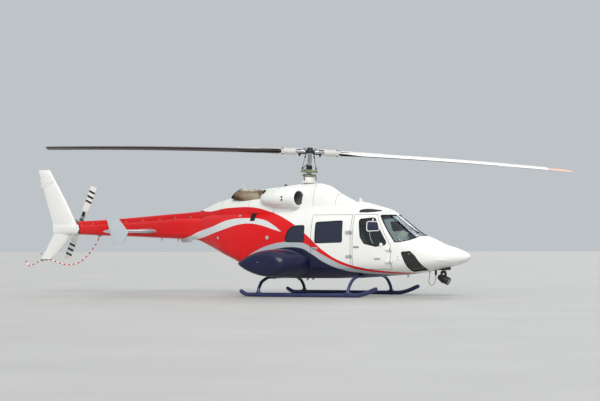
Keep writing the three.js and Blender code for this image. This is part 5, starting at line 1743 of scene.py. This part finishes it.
def make_blades(radius):
    scale = radius / BLADE_STATIONS[-1][0]
    cosine, sine = cos(BLADE_PITCH), sin(BLADE_PITCH)

    def pitched(r, along, height):
        drop = -BLADE_DROOP * (r / radius) ** 2
        return (r, along * cosine - height * sine, drop + along * sine + height * cosine)

    stations = [(r * scale if r > 1.4 else r, *rest) for r, *rest in BLADE_STATIONS]
    stations = denser(stations, 0.25)
    count = 52
    rings = [[pitched(r, along, height) for along, height in aerofoil(leading, trailing, thick, count)]
             for r, leading, trailing, thick in stations]
    blade = outward(lofted(rings))
    sections = np.array([aerofoil(leading, trailing, thick, count)
        for r, leading, trailing, thick in stations])
    groups = {"blade_white": [], "blade_dark": [], "orange": []}
    size = len(rings[0])
    for number, face in enumerate(blade[1]):
        segment = number // size
        if segment >= len(rings) - 1:
            groups["blade_white"].append(face)
            continue
        flat = sections.reshape(-1, 2)[list(face)]
        along, height = flat.mean(0)
        # The underside and the nose guard go dark: partly the blade's own dark paint, partly painted shade on
        # the side away from the light.
        if height <= 0 or stations[segment][1] - along < BLADE_NOSE:
            groups["blade_dark"].append(face)
        else:
            groups["orange" if stations[segment][0] > ORANGE_FROM else "blade_white"].append(face)
    parts = [((blade[0], faces), surface) for surface, faces in groups.items() if faces]
    # The upper root plate is white and the lower one dark, the lower one partly as painted shade.
    for sign, surface in ((1, "blade_white"), (-1, "blade_dark")):
        for reach, width, lift in mm("1750 75 47, 1400 105 50"):
            outline = [(0.74, -width), (reach, -width * 0.35), (reach, width * 0.35), (0.74, width)]
            plate = softened(prism(outline, -0.004, 0.004, "z"), 0.003, 1)
            points = np.array([pitched(x, y, sign * lift + z) for x, y, z in plate[0]])
            parts.append((outward((points, plate[1])), surface))
    tab = bar(4.55, 4.95, -0.556, -0.512, -0.0015, 0.0015, 0.001)
    points = np.array([pitched(x, y, z) for x, y, z in tab[0]])
    parts.append((outward((points, tab[1])), "alloy"))
    for number, flip in ((1, None), (2, rotation(pi, "Z"))):
        placed = all_moved(all_moved(parts, turn=flip), ROTOR_CENTRE, ROTOR_TURN)
        make_piece(f"main_blade_skin_{number}", placed, f"main_blade_{number}", "main_rotor", angle=28)


class HELICOPTER_OT_main_rotor(Operator):
    """Makes the mast base, hub, swashplate, links and the two main blades"""
    bl_idname = "helicopter.main_rotor"
    bl_label = "Main rotor"

    def execute(self, context):
        make_base()
        make_hub()
        make_blades(context.scene.helicopter_sizes.blade_radius)
        return {"FINISHED"}


# Cabin


def puffed(size, channels=(), voxel=0.01, cap=0.024):
    """A cushion lying flat about the origin, crowned by a cloth simulation under pressure, with a
    seam round its middle and sewn channels across its top at the given y."""
    length, width, depth = size
    block_mesh = bar(-length / 2, length / 2, -width / 2, width / 2, -depth / 2, depth / 2, 0.3 * depth)
    body = scratch(block_mesh, "padding")
    remesh = body.modifiers.new("even", "REMESH")
    remesh.mode = "VOXEL"
    remesh.voxel_size = voxel
    rest = applied(body)
    cloth = body.modifiers.new("cloth", "CLOTH")
    cloth.settings.use_pressure = True
    cloth.settings.uniform_pressure_force = 4.0
    cloth.settings.effector_weights.gravity = 0.0
    cloth.point_cache.frame_end = 20
    for moment in range(1, 21):
        bpy.context.scene.frame_set(moment)
    shift = applied(body) - rest
    far = norm(shift, axis=1)
    shift *= (np.minimum(far, cap) / np.maximum(far, 1e-9))[:, None]
    body.data.vertices.foreach_set("co", (rest + shift).ravel())
    bpy.context.scene.frame_set(1)
    finer = body.modifiers.new("finer", "SUBSURF")
    finer.levels = finer.render_levels = 1
    applied(body)
    points, faces = taken(body)
    seam = 0.004 * np.exp(-(points[:, 2] / 0.006) ** 2)
    reach = norm(points[:, :2], axis=1)[:, None]
    points[:, :2] *= 1 - seam[:, None] / reach.clip(0.05)
    for line in channels:
        dip = 0.008 * np.exp(-((points[:, 1] - line) / 0.008) ** 2)
        points[:, 2] -= np.where(points[:, 2] > 0, dip, 0.0)
    return points, faces


# Seats as x, y and the share of a crew seat's width; each leans back about this far
SEATS = {"crew_seat_right": (1.56, (-0.36,), 1.0), "crew_seat_left": (1.56, (0.36,), 1.0),
         "cabin_bench": (-0.8, (-0.4067, 0.0, 0.4067), 0.92)}
SEAT_LEAN = radians(11.5)
PANEL_FACE = (2.79, 0.972, 2.83, 1.322)


def make_seats():
    pads = {"cushion": (puffed((0.41, 0.385, 0.075), (-0.075, 0.075)), (0.255, 0.0, 0.245), -0.06),
            "back": (puffed((0.49, 0.385, 0.06), (-0.075, 0.075)), (-0.002, 0.0, 0.545), pi / 2 + SEAT_LEAN),
            "headrest": (puffed((0.09, 0.23, 0.05)), (-0.078, 0.0, 0.838), pi / 2 + SEAT_LEAN)}
    for node, (x, places, share) in SEATS.items():
        frame_parts = []
        for number, y in enumerate(places):
            label = f"{node}_{number + 1}" if len(places) > 1 else node
            for kind, (mesh, place, tip) in pads.items():
                turn = rotation(-tip if kind != "cushion" else tip, "Y")
                pad = moved((mesh[0] * (1, share, 1), mesh[1]), turn=turn)
                pad = moved(pad, (x + place[0], y, FLOOR_Z + place[2]))
                piece = make_piece(f"{label}_{kind}", [(pad, "cloth")], node, angle=60)
            frame_parts += seat_frame(x, y, share)
        make_piece(f"{node}_frame", frame_parts, node)


def seat_frame(x, y, share):
    """The pan, back shell, rails, belts and buckle of one place."""
    half = 0.205 * share
    parts = [(bar(0.02, 0.42, -half * 0.85, half * 0.85, 0.016, 0.195, 0.02), "trim")]
    for mesh, surface in ((bar(-0.018, 0.0, -half, half, 0.0, 0.62, 0.008), "plastic"),
                          (bar(-0.012, 0.0, -0.03, 0.03, 0.6, 0.68, 0.005), "dark_steel")):
        parts.append((moved(mesh, (0.01, 0, 0.235), rotation(-SEAT_LEAN, "Y")), surface))
    for side in (-1, 1):
        rail = side * half * 0.75
        parts.append((bar(-0.03, 0.43, rail - 0.015, rail + 0.015, 0.001, 0.018, 0.003), "alloy"))
        strap = mm("-52 70 775, 10 80 700, 70 85 500, 130 70 345, 175 20 312")
        lap = [(0.06, half * 0.98, 0.2), (0.1, half * 0.9, 0.312), (0.16, 0.08, 0.318), (0.18, 0.02, 0.315)]
        for belt, across in ((strap, (0, 1, 0)), (lap, (1, 0, 0.3))):
            line = smooth_path([(px, side * py, pz) for px, py, pz in belt], 0.03)
            parts.append((ribbon(line, across, 0.045), "webbing"))
    parts.append((bar(0.155, 0.205, -0.028, 0.028, 0.308, 0.326, 0.005), "steel"))
    return all_moved(parts, (x, y, FLOOR_Z))


def make_panel():
    outline = mm("2790 970, 3060 970, 3060 1270, 2960 1330, 2830 1330")
    room = HULL.solid(WALL + 0.013, 2.0, 3.3)
    body = carved(softened(prism(outline, -0.43, 0.43), 0.012, 3), (KEEP, room))
    hood = carved(softened(prism("2770 1322, 3020 1322, 3000 1345, 2800 1352", -0.455, 0.455), 0.008, 3),
                  (KEEP, room))
    console = bar(2.25, 3.06, -0.11, 0.11, FLOOR_Z + 0.001, FLOOR_Z + 0.232, 0.012)
    parts = [(body, "plastic"), (hood, "seal"), (console, "plastic")]
    x0, z0, x1, z1 = PANEL_FACE
    slope = atan2(x1 - x0, z1 - z0)
    out = (-cos(slope), 0.0, sin(slope))

    def face_place(y, height):
        t = (height - z0) / (z1 - z0)
        return (x0 + (x1 - x0) * t, y, height)

    for y in (-0.3, -0.13, 0.13, 0.3):
        screen = moved(bar(-0.07, 0.07, -0.08, 0.08, 0.0, 0.006, 0.003), face_place(y, 1.225), aim(out))
        frame_bar = moved(bar(-0.08, 0.08, -0.09, 0.09, -0.002, 0.003, 0.002), face_place(y, 1.225), aim(out))
        parts += [(frame_bar, "trim"), (screen, "screen")]
    for y, height in ((y, height) for y in (-0.355, -0.27, 0.27, 0.355) for height in (1.02, 1.105)):
        dial = stud(face_place(y, height), out, mm("0 2, 31 2, 31 8, 36 8, 37 0, 0 0")[::-1], 28)
        parts.append((dial, "trim"))
        parts.append((stud(face_place(y, height), out, "0 1, 30 1, 30 4, 0 4", 28), "screen"))
    top, knob = FLOOR_Z + 0.232, mm("0 0, 11 0, 9.5 16, 0 18")
    for k, x in enumerate((2.31, 2.43, 2.55, 2.67)):
        parts.append((bar(x - 0.052, x + 0.052, -0.098, 0.098, top - 0.002, top + 0.008, 0.003), "trim"))
        for y in (-0.07, -0.025, 0.025, 0.07):
            parts.append((stud((x + 0.02 * (-1) ** k, y, top + 0.007), (0, 0, 1), knob, 14), "plastic"))
    make_piece("instrument_console", parts, "instrument_panel")
    card = prism("2598 1573, 2762 1508, 2627 1337, 2480 1415", -0.3515, -0.3485)
    clip = swept(mm("2800 -345 1340, 2700 -345 1420, 2620 -345 1455"), 0.006, 8)
    make_piece("checklist_card", [(card, "paper"), (clip, "plastic")])


def make_controls():
    parts = []
    for y in (-0.36, 0.36):
        stick = smooth_path([(2.18, y, FLOOR_Z + 0.005), (2.2, y, 0.86), (2.14, y, 0.98), (2.1, y, 1.05)],
            0.03)
        grip = smooth_path([(2.1, y, 1.045), (2.085, y, 1.1), (2.09, y, 1.165)], 0.02)
        lever = smooth_path([(1.7, y + 0.26, 0.79), (1.86, y + 0.26, 0.86), (2.04, y + 0.26, 0.96)], 0.04)
        parts += [(swept(stick, 0.013), "dark_steel"), (swept(grip, 0.019), "plastic"),
                  (stud((2.18, y, FLOOR_Z + 0.004), (0, 0, 1), "0 0, 50 0, 45 30, 16 60, 0 60", 24),
                   "rubber"),
                  (swept(lever, 0.012), "dark_steel"), (swept(lever[-4:], 0.019), "plastic")]
        for dy in (-0.09, 0.09):
            arm = smooth_path([(2.62, y + dy, FLOOR_Z - 0.02), (2.64, y + dy, 0.84), (2.6, y + dy, 0.92)],
                0.03)
            parts += [(swept(arm, 0.01, 10), "dark_steel"),
                      (moved(bar(-0.008, 0.008, -0.045, 0.045, -0.045, 0.045, 0.006), (2.592, y + dy, 0.92),
                             rotation(-0.35, "Y")), "alloy")]
    make_piece("flight_controls", parts)
    outline = mm("-970 -690, 2200 -690, 2500 -650, 2500 650, 2200 690, -970 690")
    make_piece("floor_carpet", [(prism(outline, FLOOR_Z + 0.0004, FLOOR_Z + 0.004, "z"), "carpet")])


class HELICOPTER_OT_cabin(Operator):
    """Furnishes the cabin with padded seats, belts, the instrument panel, controls and carpet"""
    bl_idname = "helicopter.cabin"
    bl_label = "Cabin"

    def execute(self, context):
        make_seats()
        make_panel()
        make_controls()
        return {"FINISHED"}


def ribbon(path, across, width, thick=0.002):
    """A flat strap along a path, its width lying as near as can be to a direction."""
    tangents = np.gradient(path, axis=0)
    rings = []
    for centre, tangent in zip(path, tangents):
        tangent = tangent / norm(tangent)
        side = np.array(across, float)
        side -= tangent * np.dot(side, tangent)
        side *= width / 2 / norm(side)
        up = np.cross(tangent, side)
        up *= thick / 2 / norm(up)
        rings.append([centre + side + up, centre - side + up, centre - side - up, centre + side - up])
    return outward(lofted(rings))


# Searchlight and small fittings


LAMP = {"x": 3.5, "z": 0.415, "pitch": radians(24)}


class HELICOPTER_OT_searchlight(Operator):
    """Makes the searchlight's mount, its yoke and its lamp under the nose"""
    bl_idname = "helicopter.searchlight"
    bl_label = "Searchlight"

    def execute(self, context):
        x, z = LAMP["x"], LAMP["z"]
        base = carved(softened(prism(rounded(mm("3302 624, 3663 624, 3663 740, 3302 740"), 0.03),
                                     -0.073, 0.073), 0.01, 3),
                      (OFF, HULL.solid(-TOUCH_GAP, 3.0, 3.9, 0.02)))
        mount = [(largest(base), "plastic"), (bar(3.284, 3.324, -0.027, 0.027, 0.506, 0.64, 0.006),
            "plastic"),
                 (stud((3.304, 0, 0.506), (0, 0, -1), "0 -20, 11.5 -20, 10.5 4, 6.5 30, 0 30", 20), "rubber")]
        for bx in (3.345, 3.43, 3.57, 3.64):
            mount += [(hex_bolt((bx, side * 0.072, 0.652), (0, side, 0), 0.016, 0.008), "steel")
                for side in (-1, 1)]
        make_piece("lamp_mount", mount, "searchlight_mount")
        gland = mm("0 -20, 13.5 -20, 13.5 6, 10 12, 6.8 42, 0 42")
        make_piece("cable_gland", [(stud((3.15, 0, 0.586), (0, 0, -1), gland, 24), "rubber")])
        yoke = [(stud((x, 0, 0.572), (0, 0, 1), "0 0, 56 0, 62 6, 62 30, 50 34, 50 46, 0 46", 40), "plastic"),
                (bar(x - 0.03, x + 0.03, -0.128, 0.128, 0.549, 0.574, 0.008), "plastic")]
        for side in (-1, 1):
            arm = bar(x - 0.03, x + 0.03, min(side * 0.11, side * 0.128), max(side * 0.11, side * 0.128),
                z - 0.03, 0.572, 0.006)
            yoke += [(arm, "plastic"),
                     (stud((x, side * 0.127, z), (0, side, 0), "0 -10, 26 -10, 26 0, 0 1", 24), "dark_steel")]
        yoke += [(hex_bolt((x + dx, y, 0.6055), (0, 0, 1), 0.01, 0.005), "steel")
            for dx, y in around(6, 0.047)]
        make_piece("lamp_yoke", yoke, "searchlight_yoke", "searchlight_bracket")
        tilt = rotation(LAMP["pitch"], "Y") @ aim((1, 0, 0)).to_3x3()
        can = mm(
            "0 -150, 30 -149, 52 -138, 64 -115, 72 -85, 82 -60, 90 -20, 91.5 0, 91.5 115, 88.5 120, "
            "88.5 126, 91.8 130, 91.8 146, 86 150, 79 150, 79 136, 0 136")
        lamp = [(turned(can, 56), "plastic"),
                (turned("0 137, 78.5 137, 75 141, 40 146, 0 148", 48), "clear_lens")]
        for k in range(7):
            along = -0.045 + k * 0.014
            radius = float(np.interp(along, [-0.06, -0.02, 0.0], [0.082, 0.09, 0.0915]))
            inner, outer = radius - 0.004, min(radius + 0.004, 0.0918)
            rib = [(inner, along - 0.002), (outer, along - 0.002), (outer, along + 0.002),
                (inner, along + 0.002)]
            lamp.append((turned(rib, 56), "dark_steel"))
        lamp += [(stud((side * 0.088, 0, 0), (side, 0, 0), "0 0, 22 0, 20 14, 0 15", 20), "dark_steel")
                 for side in (-1, 1)]
        upright = rotation(pi / 2, "Z")
        placed = all_moved(all_moved(lamp, turn=upright), (x, 0, z), tilt)
        make_piece("lamp_head", placed, "searchlight_lamp", "searchlight_head")
        return {"FINISHED"}


def make_aerials():
    dome = mm("0 -20, 52 -20, 52 12, 30 16, 0 16")
    glass = mm("0 14, 34 14, 36 30, 30 52, 16 64, 0 67")
    top = COWLING.top_z(-0.662, 0)
    parts = [(stud((-0.662, 0, top), (0, 0, 1), dome, 32), "black_gloss")]
    make_piece("beacon_lens", [(stud((-0.662, 0, top), (0, 0, 1), glass, 32), "red_lens")])
    whip = smooth_path([(-1.6, -0.2, COWLING.top_z(-1.6, -0.2) - 0.01), (-1.68, -0.2, 2.6),
        (-1.828, -0.2, 2.817)], 0.03)
    parts.append((swept(whip, np.linspace(0.011, 0.005, len(whip)), 10), "white"))
    parts.append((stud(whip[0], (0, 0, 1), "0 -10, 30 -10, 26 20, 0 30", 20), "plastic"))
    blades = mm(
        "1366 2262 55 88, -1003 430 50 -45, -79 420 45 -55, 71 420 45 -45, 2600 520 45 -70, "
        "-4209 1416 30 -112, -3726 1390 30 -118")
    for x, z, half, reach in blades:
        foot = z - copysign(0.012, reach)
        outline = [(x + half, foot), (x + half * 0.2, z + reach), (x - half * 0.6, z + reach),
            (x - half, foot)]
        parts.append((softened(prism(outline, -0.008, 0.008), 0.006, 2), "white"))
    bump = HULL.top_z(2.18, -0.15)
    parts.append((stud((2.18, -0.15, bump), (0.3, -0.1, 1), "0 -20, 45 -20, 40 8, 20 20, 0 23", 28), "white"))
    make_piece("aerials", parts)


def make_hinges():
    """Door hinges: a leaf on the door, another on the body and the barrel between them."""
    for name, axis_x, axis_y, heights, surface, (lock_x, lock_z) in (
            ("cabin_door", 1.4445, 0.812, (1.537, 0.962), "silver", (0.5, 1.15)),
            ("crew_door", 2.475, 0.8, (1.12, 0.84), "white", (1.6, 1.18))):
        leaves, fixed = [], []
        for z in heights:
            for group, x0, x1 in ((leaves, axis_x - 0.115, axis_x - 0.016),
                                  (fixed, axis_x + 0.016, axis_x + 0.055)):
                skin_y = HULL.side_y((x0 + x1) / 2, z)
                leaf = bar(x0, x1, -axis_y - 0.008, skin_y + 0.006, z - 0.03, z + 0.03, 0.012)
                group.append((leaf, surface))
            barrel = stud((axis_x, -axis_y, z - 0.034), (0, 0, 1), "0 0, 10.5 0, 10.5 68, 0 68", 18)
            arm = bar(axis_x - 0.002, axis_x + 0.03, -axis_y - 0.006, -axis_y + 0.006, z - 0.012, z + 0.012,
                      0.003)
            fixed += [(barrel, "steel"), (arm, surface)]
        y = HULL.side_y(lock_x, lock_z)
        plate = bar(-0.075, 0.075, -0.003, 0.004, -0.026, 0.026, 0.003)
        grip = bar(-0.06, 0.045, -0.016, -0.002, -0.01, 0.01, 0.005)
        lock = stud((0.058, -0.002, 0), (0, -1, 0), "0 0, 10 0, 10 3, 0 3", 16)
        handle = all_moved([(plate, "silver"), (grip, "steel"), (lock, "steel")], (lock_x, y, lock_z))
        for side_name, side in SIDES:
            body = f"{side_name}_{name}"
            make_piece(f"{name}_hinge_leaves_{side_name}", all_mirrored(leaves, side), body=body)
            make_piece(f"{name}_hinge_barrels_{side_name}", all_mirrored(fixed, side))
            make_piece(f"{name}_handle_{side_name}", all_mirrored(handle, side), body=body)


def make_window_fittings():
    corners = mm("1837 1762, 1870 1782, 2075 1776, 2110 1755, 2172 1600, 2160 1566, 1890 1553, 1858 1580")
    loop = rounded(corners, 0.02)
    ring = [(x, HULL.side_y(x, z) + 0.003, z) for x, z in loop]
    stem = [(1.972, HULL.side_y(1.972, z) + 0.003, z) for z in (1.78, 1.812, 1.846)]
    stay = [(x, HULL.side_y(x, z) + 0.006, z) for x, z in mm("1930 1552, 1950 1450, 1985 1350, 2040 1262")]
    vent = carved(patch(HULL, loop, -0.0015, 0.004), (KEEP, block(1.5, 2.5, -1.0, -0.1, 1.0, 2.0)))
    foot = (2.24, HULL.side_y(2.24, 1.236), 1.236)
    parts = [(swept(ring + ring[:1], 0.0115, 10), "white"), (swept(stem, 0.016, 10), "white"),
             (swept(stay, 0.005, 8), "silver"), (vent, "dark_pane"),
             (stud(foot, (0, -1, 0.1), "0 0, 45 0, 40 12, 0 16", 24), "white")]
    for side_name, side in SIDES:
        make_piece(f"sliding_vent_{side_name}", all_mirrored(parts, side), body=f"{side_name}_crew_door")
    parts = []
    for side in (-1, 1):
        blade = [(x, side * y, HULL.top_z(x, y) + 0.012)
            for x, y in mm("2930 100, 2800 105, 2620 110, 2460 112")]
        arm = [(x, side * y, HULL.top_z(x, y) + 0.02) for x, y in mm("3030 60, 2860 85, 2700 108")]
        foot = (3.03, side * 0.06, HULL.top_z(3.03, 0.06) - 0.004)
        parts += [(swept(smooth_path(blade, 0.05), 0.006, 8), "seal"),
                  (swept(smooth_path(arm, 0.05), 0.007, 8), "dark_steel"),
                  (stud(foot, (0.3, 0, 1), "0 0, 20 0, 16 30, 0 34", 20), "dark_steel")]
        tube = [(x, -side * (HULL.side_y(x, 0.866) - 0.01), 0.866) for x in (3.54, 3.61, 3.68, 3.75)]
        parts.append((swept(tube, 0.011, 10), "white"))
    make_piece("wipers_and_probes", parts)


def make_side_details():
    vent = mm("-1335 2015, -1169 2013, -1198 1819, -1323 1820")
    for side_name, side in SIDES:
        parts = [(patch(HULL, vent, 0.002, 0.004, side=side), "plastic")]
        for k in range(5):
            z = 1.85 + 0.034 * k
            parts.append((strip_on(HULL, [(-1.318, z), (-1.19, z)], 0.008, 0.006, 0.003, side), "dark_steel"))
        for x, z, radius in mm("-2254 1412 35, -787 1414 45, -1650 1950 30"):
            y = HULL.side_y(x, z)
            out = HULL.normal((x, y, z))
            cap = stud((x, y, z), out, [(0, -0.004), (radius, -0.004), (radius, 0.003), (radius * 0.8, 0.005),
                (0, 0.005)], 28)
            parts.append((mirrored(cap, side), "silver"))
        for x, z in mm("2652 956, 2652 879, 2927 1014"):
            y = HULL.side_y(x, z)
            parts.append((mirrored(stud((x, y, z), HULL.normal((x, y, z)), "0 -2, 14 -2, 13 3, 0 4", 18),
                                   side), "steel"))
        make_piece(f"side_fittings_{side_name}", parts)
        handle = patch(HULL, rounded(mm("2060 870, 2220 870, 2220 925, 2060 925"), 0.02), 0.0015, 0.004,
            side=side)
        make_piece(f"crew_door_step_plate_{side_name}", [(handle, "silver")], body=f"{side_name}_crew_door")


class HELICOPTER_OT_fittings(Operator):
    """Adds aerials, beacon, hinges, handles, wipers, vents and the sliding vent pane's frame"""
    bl_idname = "helicopter.fittings"
    bl_label = "Small fittings"

    def execute(self, context):
        make_aerials()
        make_hinges()
        make_window_fittings()
        make_side_details()
        return {"FINISHED"}


# Rivets


def rivet_tree():
    """Rivet heads set out evenly along guide lines, each standing out of its skin."""
    tree = bpy.data.node_groups.new("rivet_rows", "GeometryNodeTree")
    for way in ("INPUT", "OUTPUT"):
        tree.interface.new_socket("Geometry", in_out=way, socket_type="NodeSocketGeometry")
    for label in ("Spacing", "Radius", "Height"):
        tree.interface.new_socket(label, in_out="INPUT", socket_type="NodeSocketFloat")
    given = add_node(tree, "NodeGroupInput").node.outputs
    curves = add_node(tree, "GeometryNodeMeshToCurve", (given["Geometry"],))
    points = add_node(tree, "GeometryNodeCurveToPoints", {"Curve": curves, "Length": given["Spacing"]},
        mode="LENGTH")
    facing = add_node(tree, "GeometryNodeInputNamedAttribute", {"Name": "facing"}, "Attribute",
        data_type="FLOAT_VECTOR")
    turn = add_node(tree, "FunctionNodeAlignRotationToVector", {"Vector": facing}, axis="Z")
    top = add_node(tree, "ShaderNodeMath", (given["Radius"], 0.55), operation="MULTIPLY")
    head = add_node(tree, "GeometryNodeMeshCone", {
        "Vertices": 8, "Radius Top": top, "Radius Bottom": given["Radius"], "Depth": given["Height"]})
    heads = add_node(tree, "GeometryNodeInstanceOnPoints", {"Points": points, "Instance": head,
        "Rotation": turn})
    real = add_node(tree, "GeometryNodeRealizeInstances", (heads,))
    add_node(tree, "NodeGroupOutput", (add_node(tree, "GeometryNodeSetMaterial", {"Geometry": real,
                                                                                  "Material": finish(
                                                                                      "livery")}),))
    return tree


def side_row(skin, line):
    """Guide lines along both sides of a skin through points of x and z."""
    points = smooth_path([(x, 0, z) for x, z in line], 0.04)
    starboard = np.array([(x, skin.side_y(x, z), z) for x, _, z in points])
    return [starboard, starboard * (1, -1, 1)]


def hoop_row(skin, x, low, high, count=72):
    """Guide lines round a skin at an x, between two heights."""
    ring = skin.ring(x, 0.0, count)
    middle = skin.at(x)[3]
    starboard = sorted((p for p in ring if p[1] < -1e-6 and low < p[2] < high),
        key=lambda p: atan2(p[2] - middle, -p[1]))
    line = np.array(starboard)
    return [line, line * (1, -1, 1)]


class HELICOPTER_OT_fasteners(Operator):
    """Sets rows of rivets along the panel seams with Geometry Nodes"""
    bl_idname = "helicopter.fasteners"
    bl_label = "Rivets"

    def execute(self, context):
        rows = [(HULL, side_row(HULL, line)) for line in (
            mm("-960 722, 380 722"), mm("2500 722, 2700 735"), mm("-960 1990, 1460 1990"),
            mm("-900 1935, 360 1935"), mm("-975 600, -975 1960"), mm("-1025 600, -1025 2050"),
            mm("375 760, 375 1930"), mm("2500 800, 2500 1220"), [(-1.4, 1.42), (-2.85, 1.62)],
            mm("3295 720, 3295 1150"), mm("3345 720, 3345 1150"))]
        rows += [(HULL, hoop_row(HULL, x, 0.6, 2.02)) for x in (-1.6, -2.15, -2.6, -2.92)]
        rows += [(BOOM, hoop_row(BOOM, x + shift, 1.38, 1.9)) for x in (-3.42, -4.06, -4.98, -5.6, -6.24)
            for shift in (-0.02, 0.02)]
        rows += [(BOOM, side_row(BOOM, [(-3.02, 1.62), (-6.6, 1.62)]))]
        rows += [(COWLING, hoop_row(COWLING, x + shift, 2.16, 2.8)) for x in (-1.42, 0.28, 0.84)
            for shift in (-0.02, 0.02)]
        points, edges, facing = [], [], []
        for skin, lines in rows:
            for line in lines:
                start = len(points)
                points.extend(line)
                facing.extend(skin.normal(p) for p in line)
                edges.extend((start + i, start + i + 1) for i in range(len(line) - 1))
        sizes = context.scene.helicopter_sizes
        data = bpy.data.meshes.new("rivets")
        data.from_pydata([tuple(p) for p in np.array(points) + (ROTOR_X, 0, 0)], edges, [])
        data.attributes.new("facing", "FLOAT_VECTOR", "POINT").data.foreach_set("vector", np.ravel(facing))
        guide = bpy.data.objects.new("rivets", data)
        context.scene.collection.objects.link(guide)
        setter = guide.modifiers.new("rivets", "NODES")
        setter.node_group = rivet_tree()
        values = {"Spacing": sizes.rivet_spacing, "Radius": sizes.rivet_radius,
            "Height": sizes.rivet_radius * 0.5}
        for socket in setter.node_group.interface.items_tree:
            if socket.name in values:
                setter[socket.identifier] = values[socket.name]
        applied(guide)
        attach(guide, "airframe")
        return {"FINISHED"}


# Panel, registration and the run


STEPS = [
    HELICOPTER_OT_stage,
    HELICOPTER_OT_searchlight_cable,
    HELICOPTER_OT_body,
    HELICOPTER_OT_glazing,
    HELICOPTER_OT_doors,
    HELICOPTER_OT_boom,
    HELICOPTER_OT_tail,
    HELICOPTER_OT_tail_rotor,
    HELICOPTER_OT_sponsons,
    HELICOPTER_OT_skids,
    HELICOPTER_OT_pylon,
    HELICOPTER_OT_main_rotor,
    HELICOPTER_OT_cabin,
    HELICOPTER_OT_searchlight,
    HELICOPTER_OT_fittings,
    HELICOPTER_OT_fasteners,
]


class HELICOPTER_PT_panel(bpy.types.Panel):
    """Lists the steps that make the helicopter"""
    bl_idname = "HELICOPTER_PT_panel"
    bl_label = "Helicopter"
    bl_space_type = "VIEW_3D"
    bl_region_type = "UI"
    bl_category = "Helicopter"

    def draw(self, context):
        for group in (context.scene.helicopter_livery, context.scene.helicopter_sizes):
            for key in group.__annotations__:
                self.layout.prop(group, key)
        for step in STEPS:
            self.layout.operator(step.bl_idname)


CLASSES = [HelicopterLivery, HelicopterSizes, *STEPS, HELICOPTER_PT_panel]


def register():
    for item in CLASSES:
        bpy.utils.register_class(item)
    bpy.types.Scene.helicopter_livery = PointerProperty(type=HelicopterLivery)
    bpy.types.Scene.helicopter_sizes = PointerProperty(type=HelicopterSizes)


def unregister():
    del bpy.types.Scene.helicopter_sizes
    del bpy.types.Scene.helicopter_livery
    for item in reversed(CLASSES):
        bpy.utils.unregister_class(item)


def main():
    register()
    for step in STEPS:
        group, name = step.bl_idname.split(".")
        getattr(getattr(bpy.ops, group), name)()


if __name__ == "__main__":
    main()
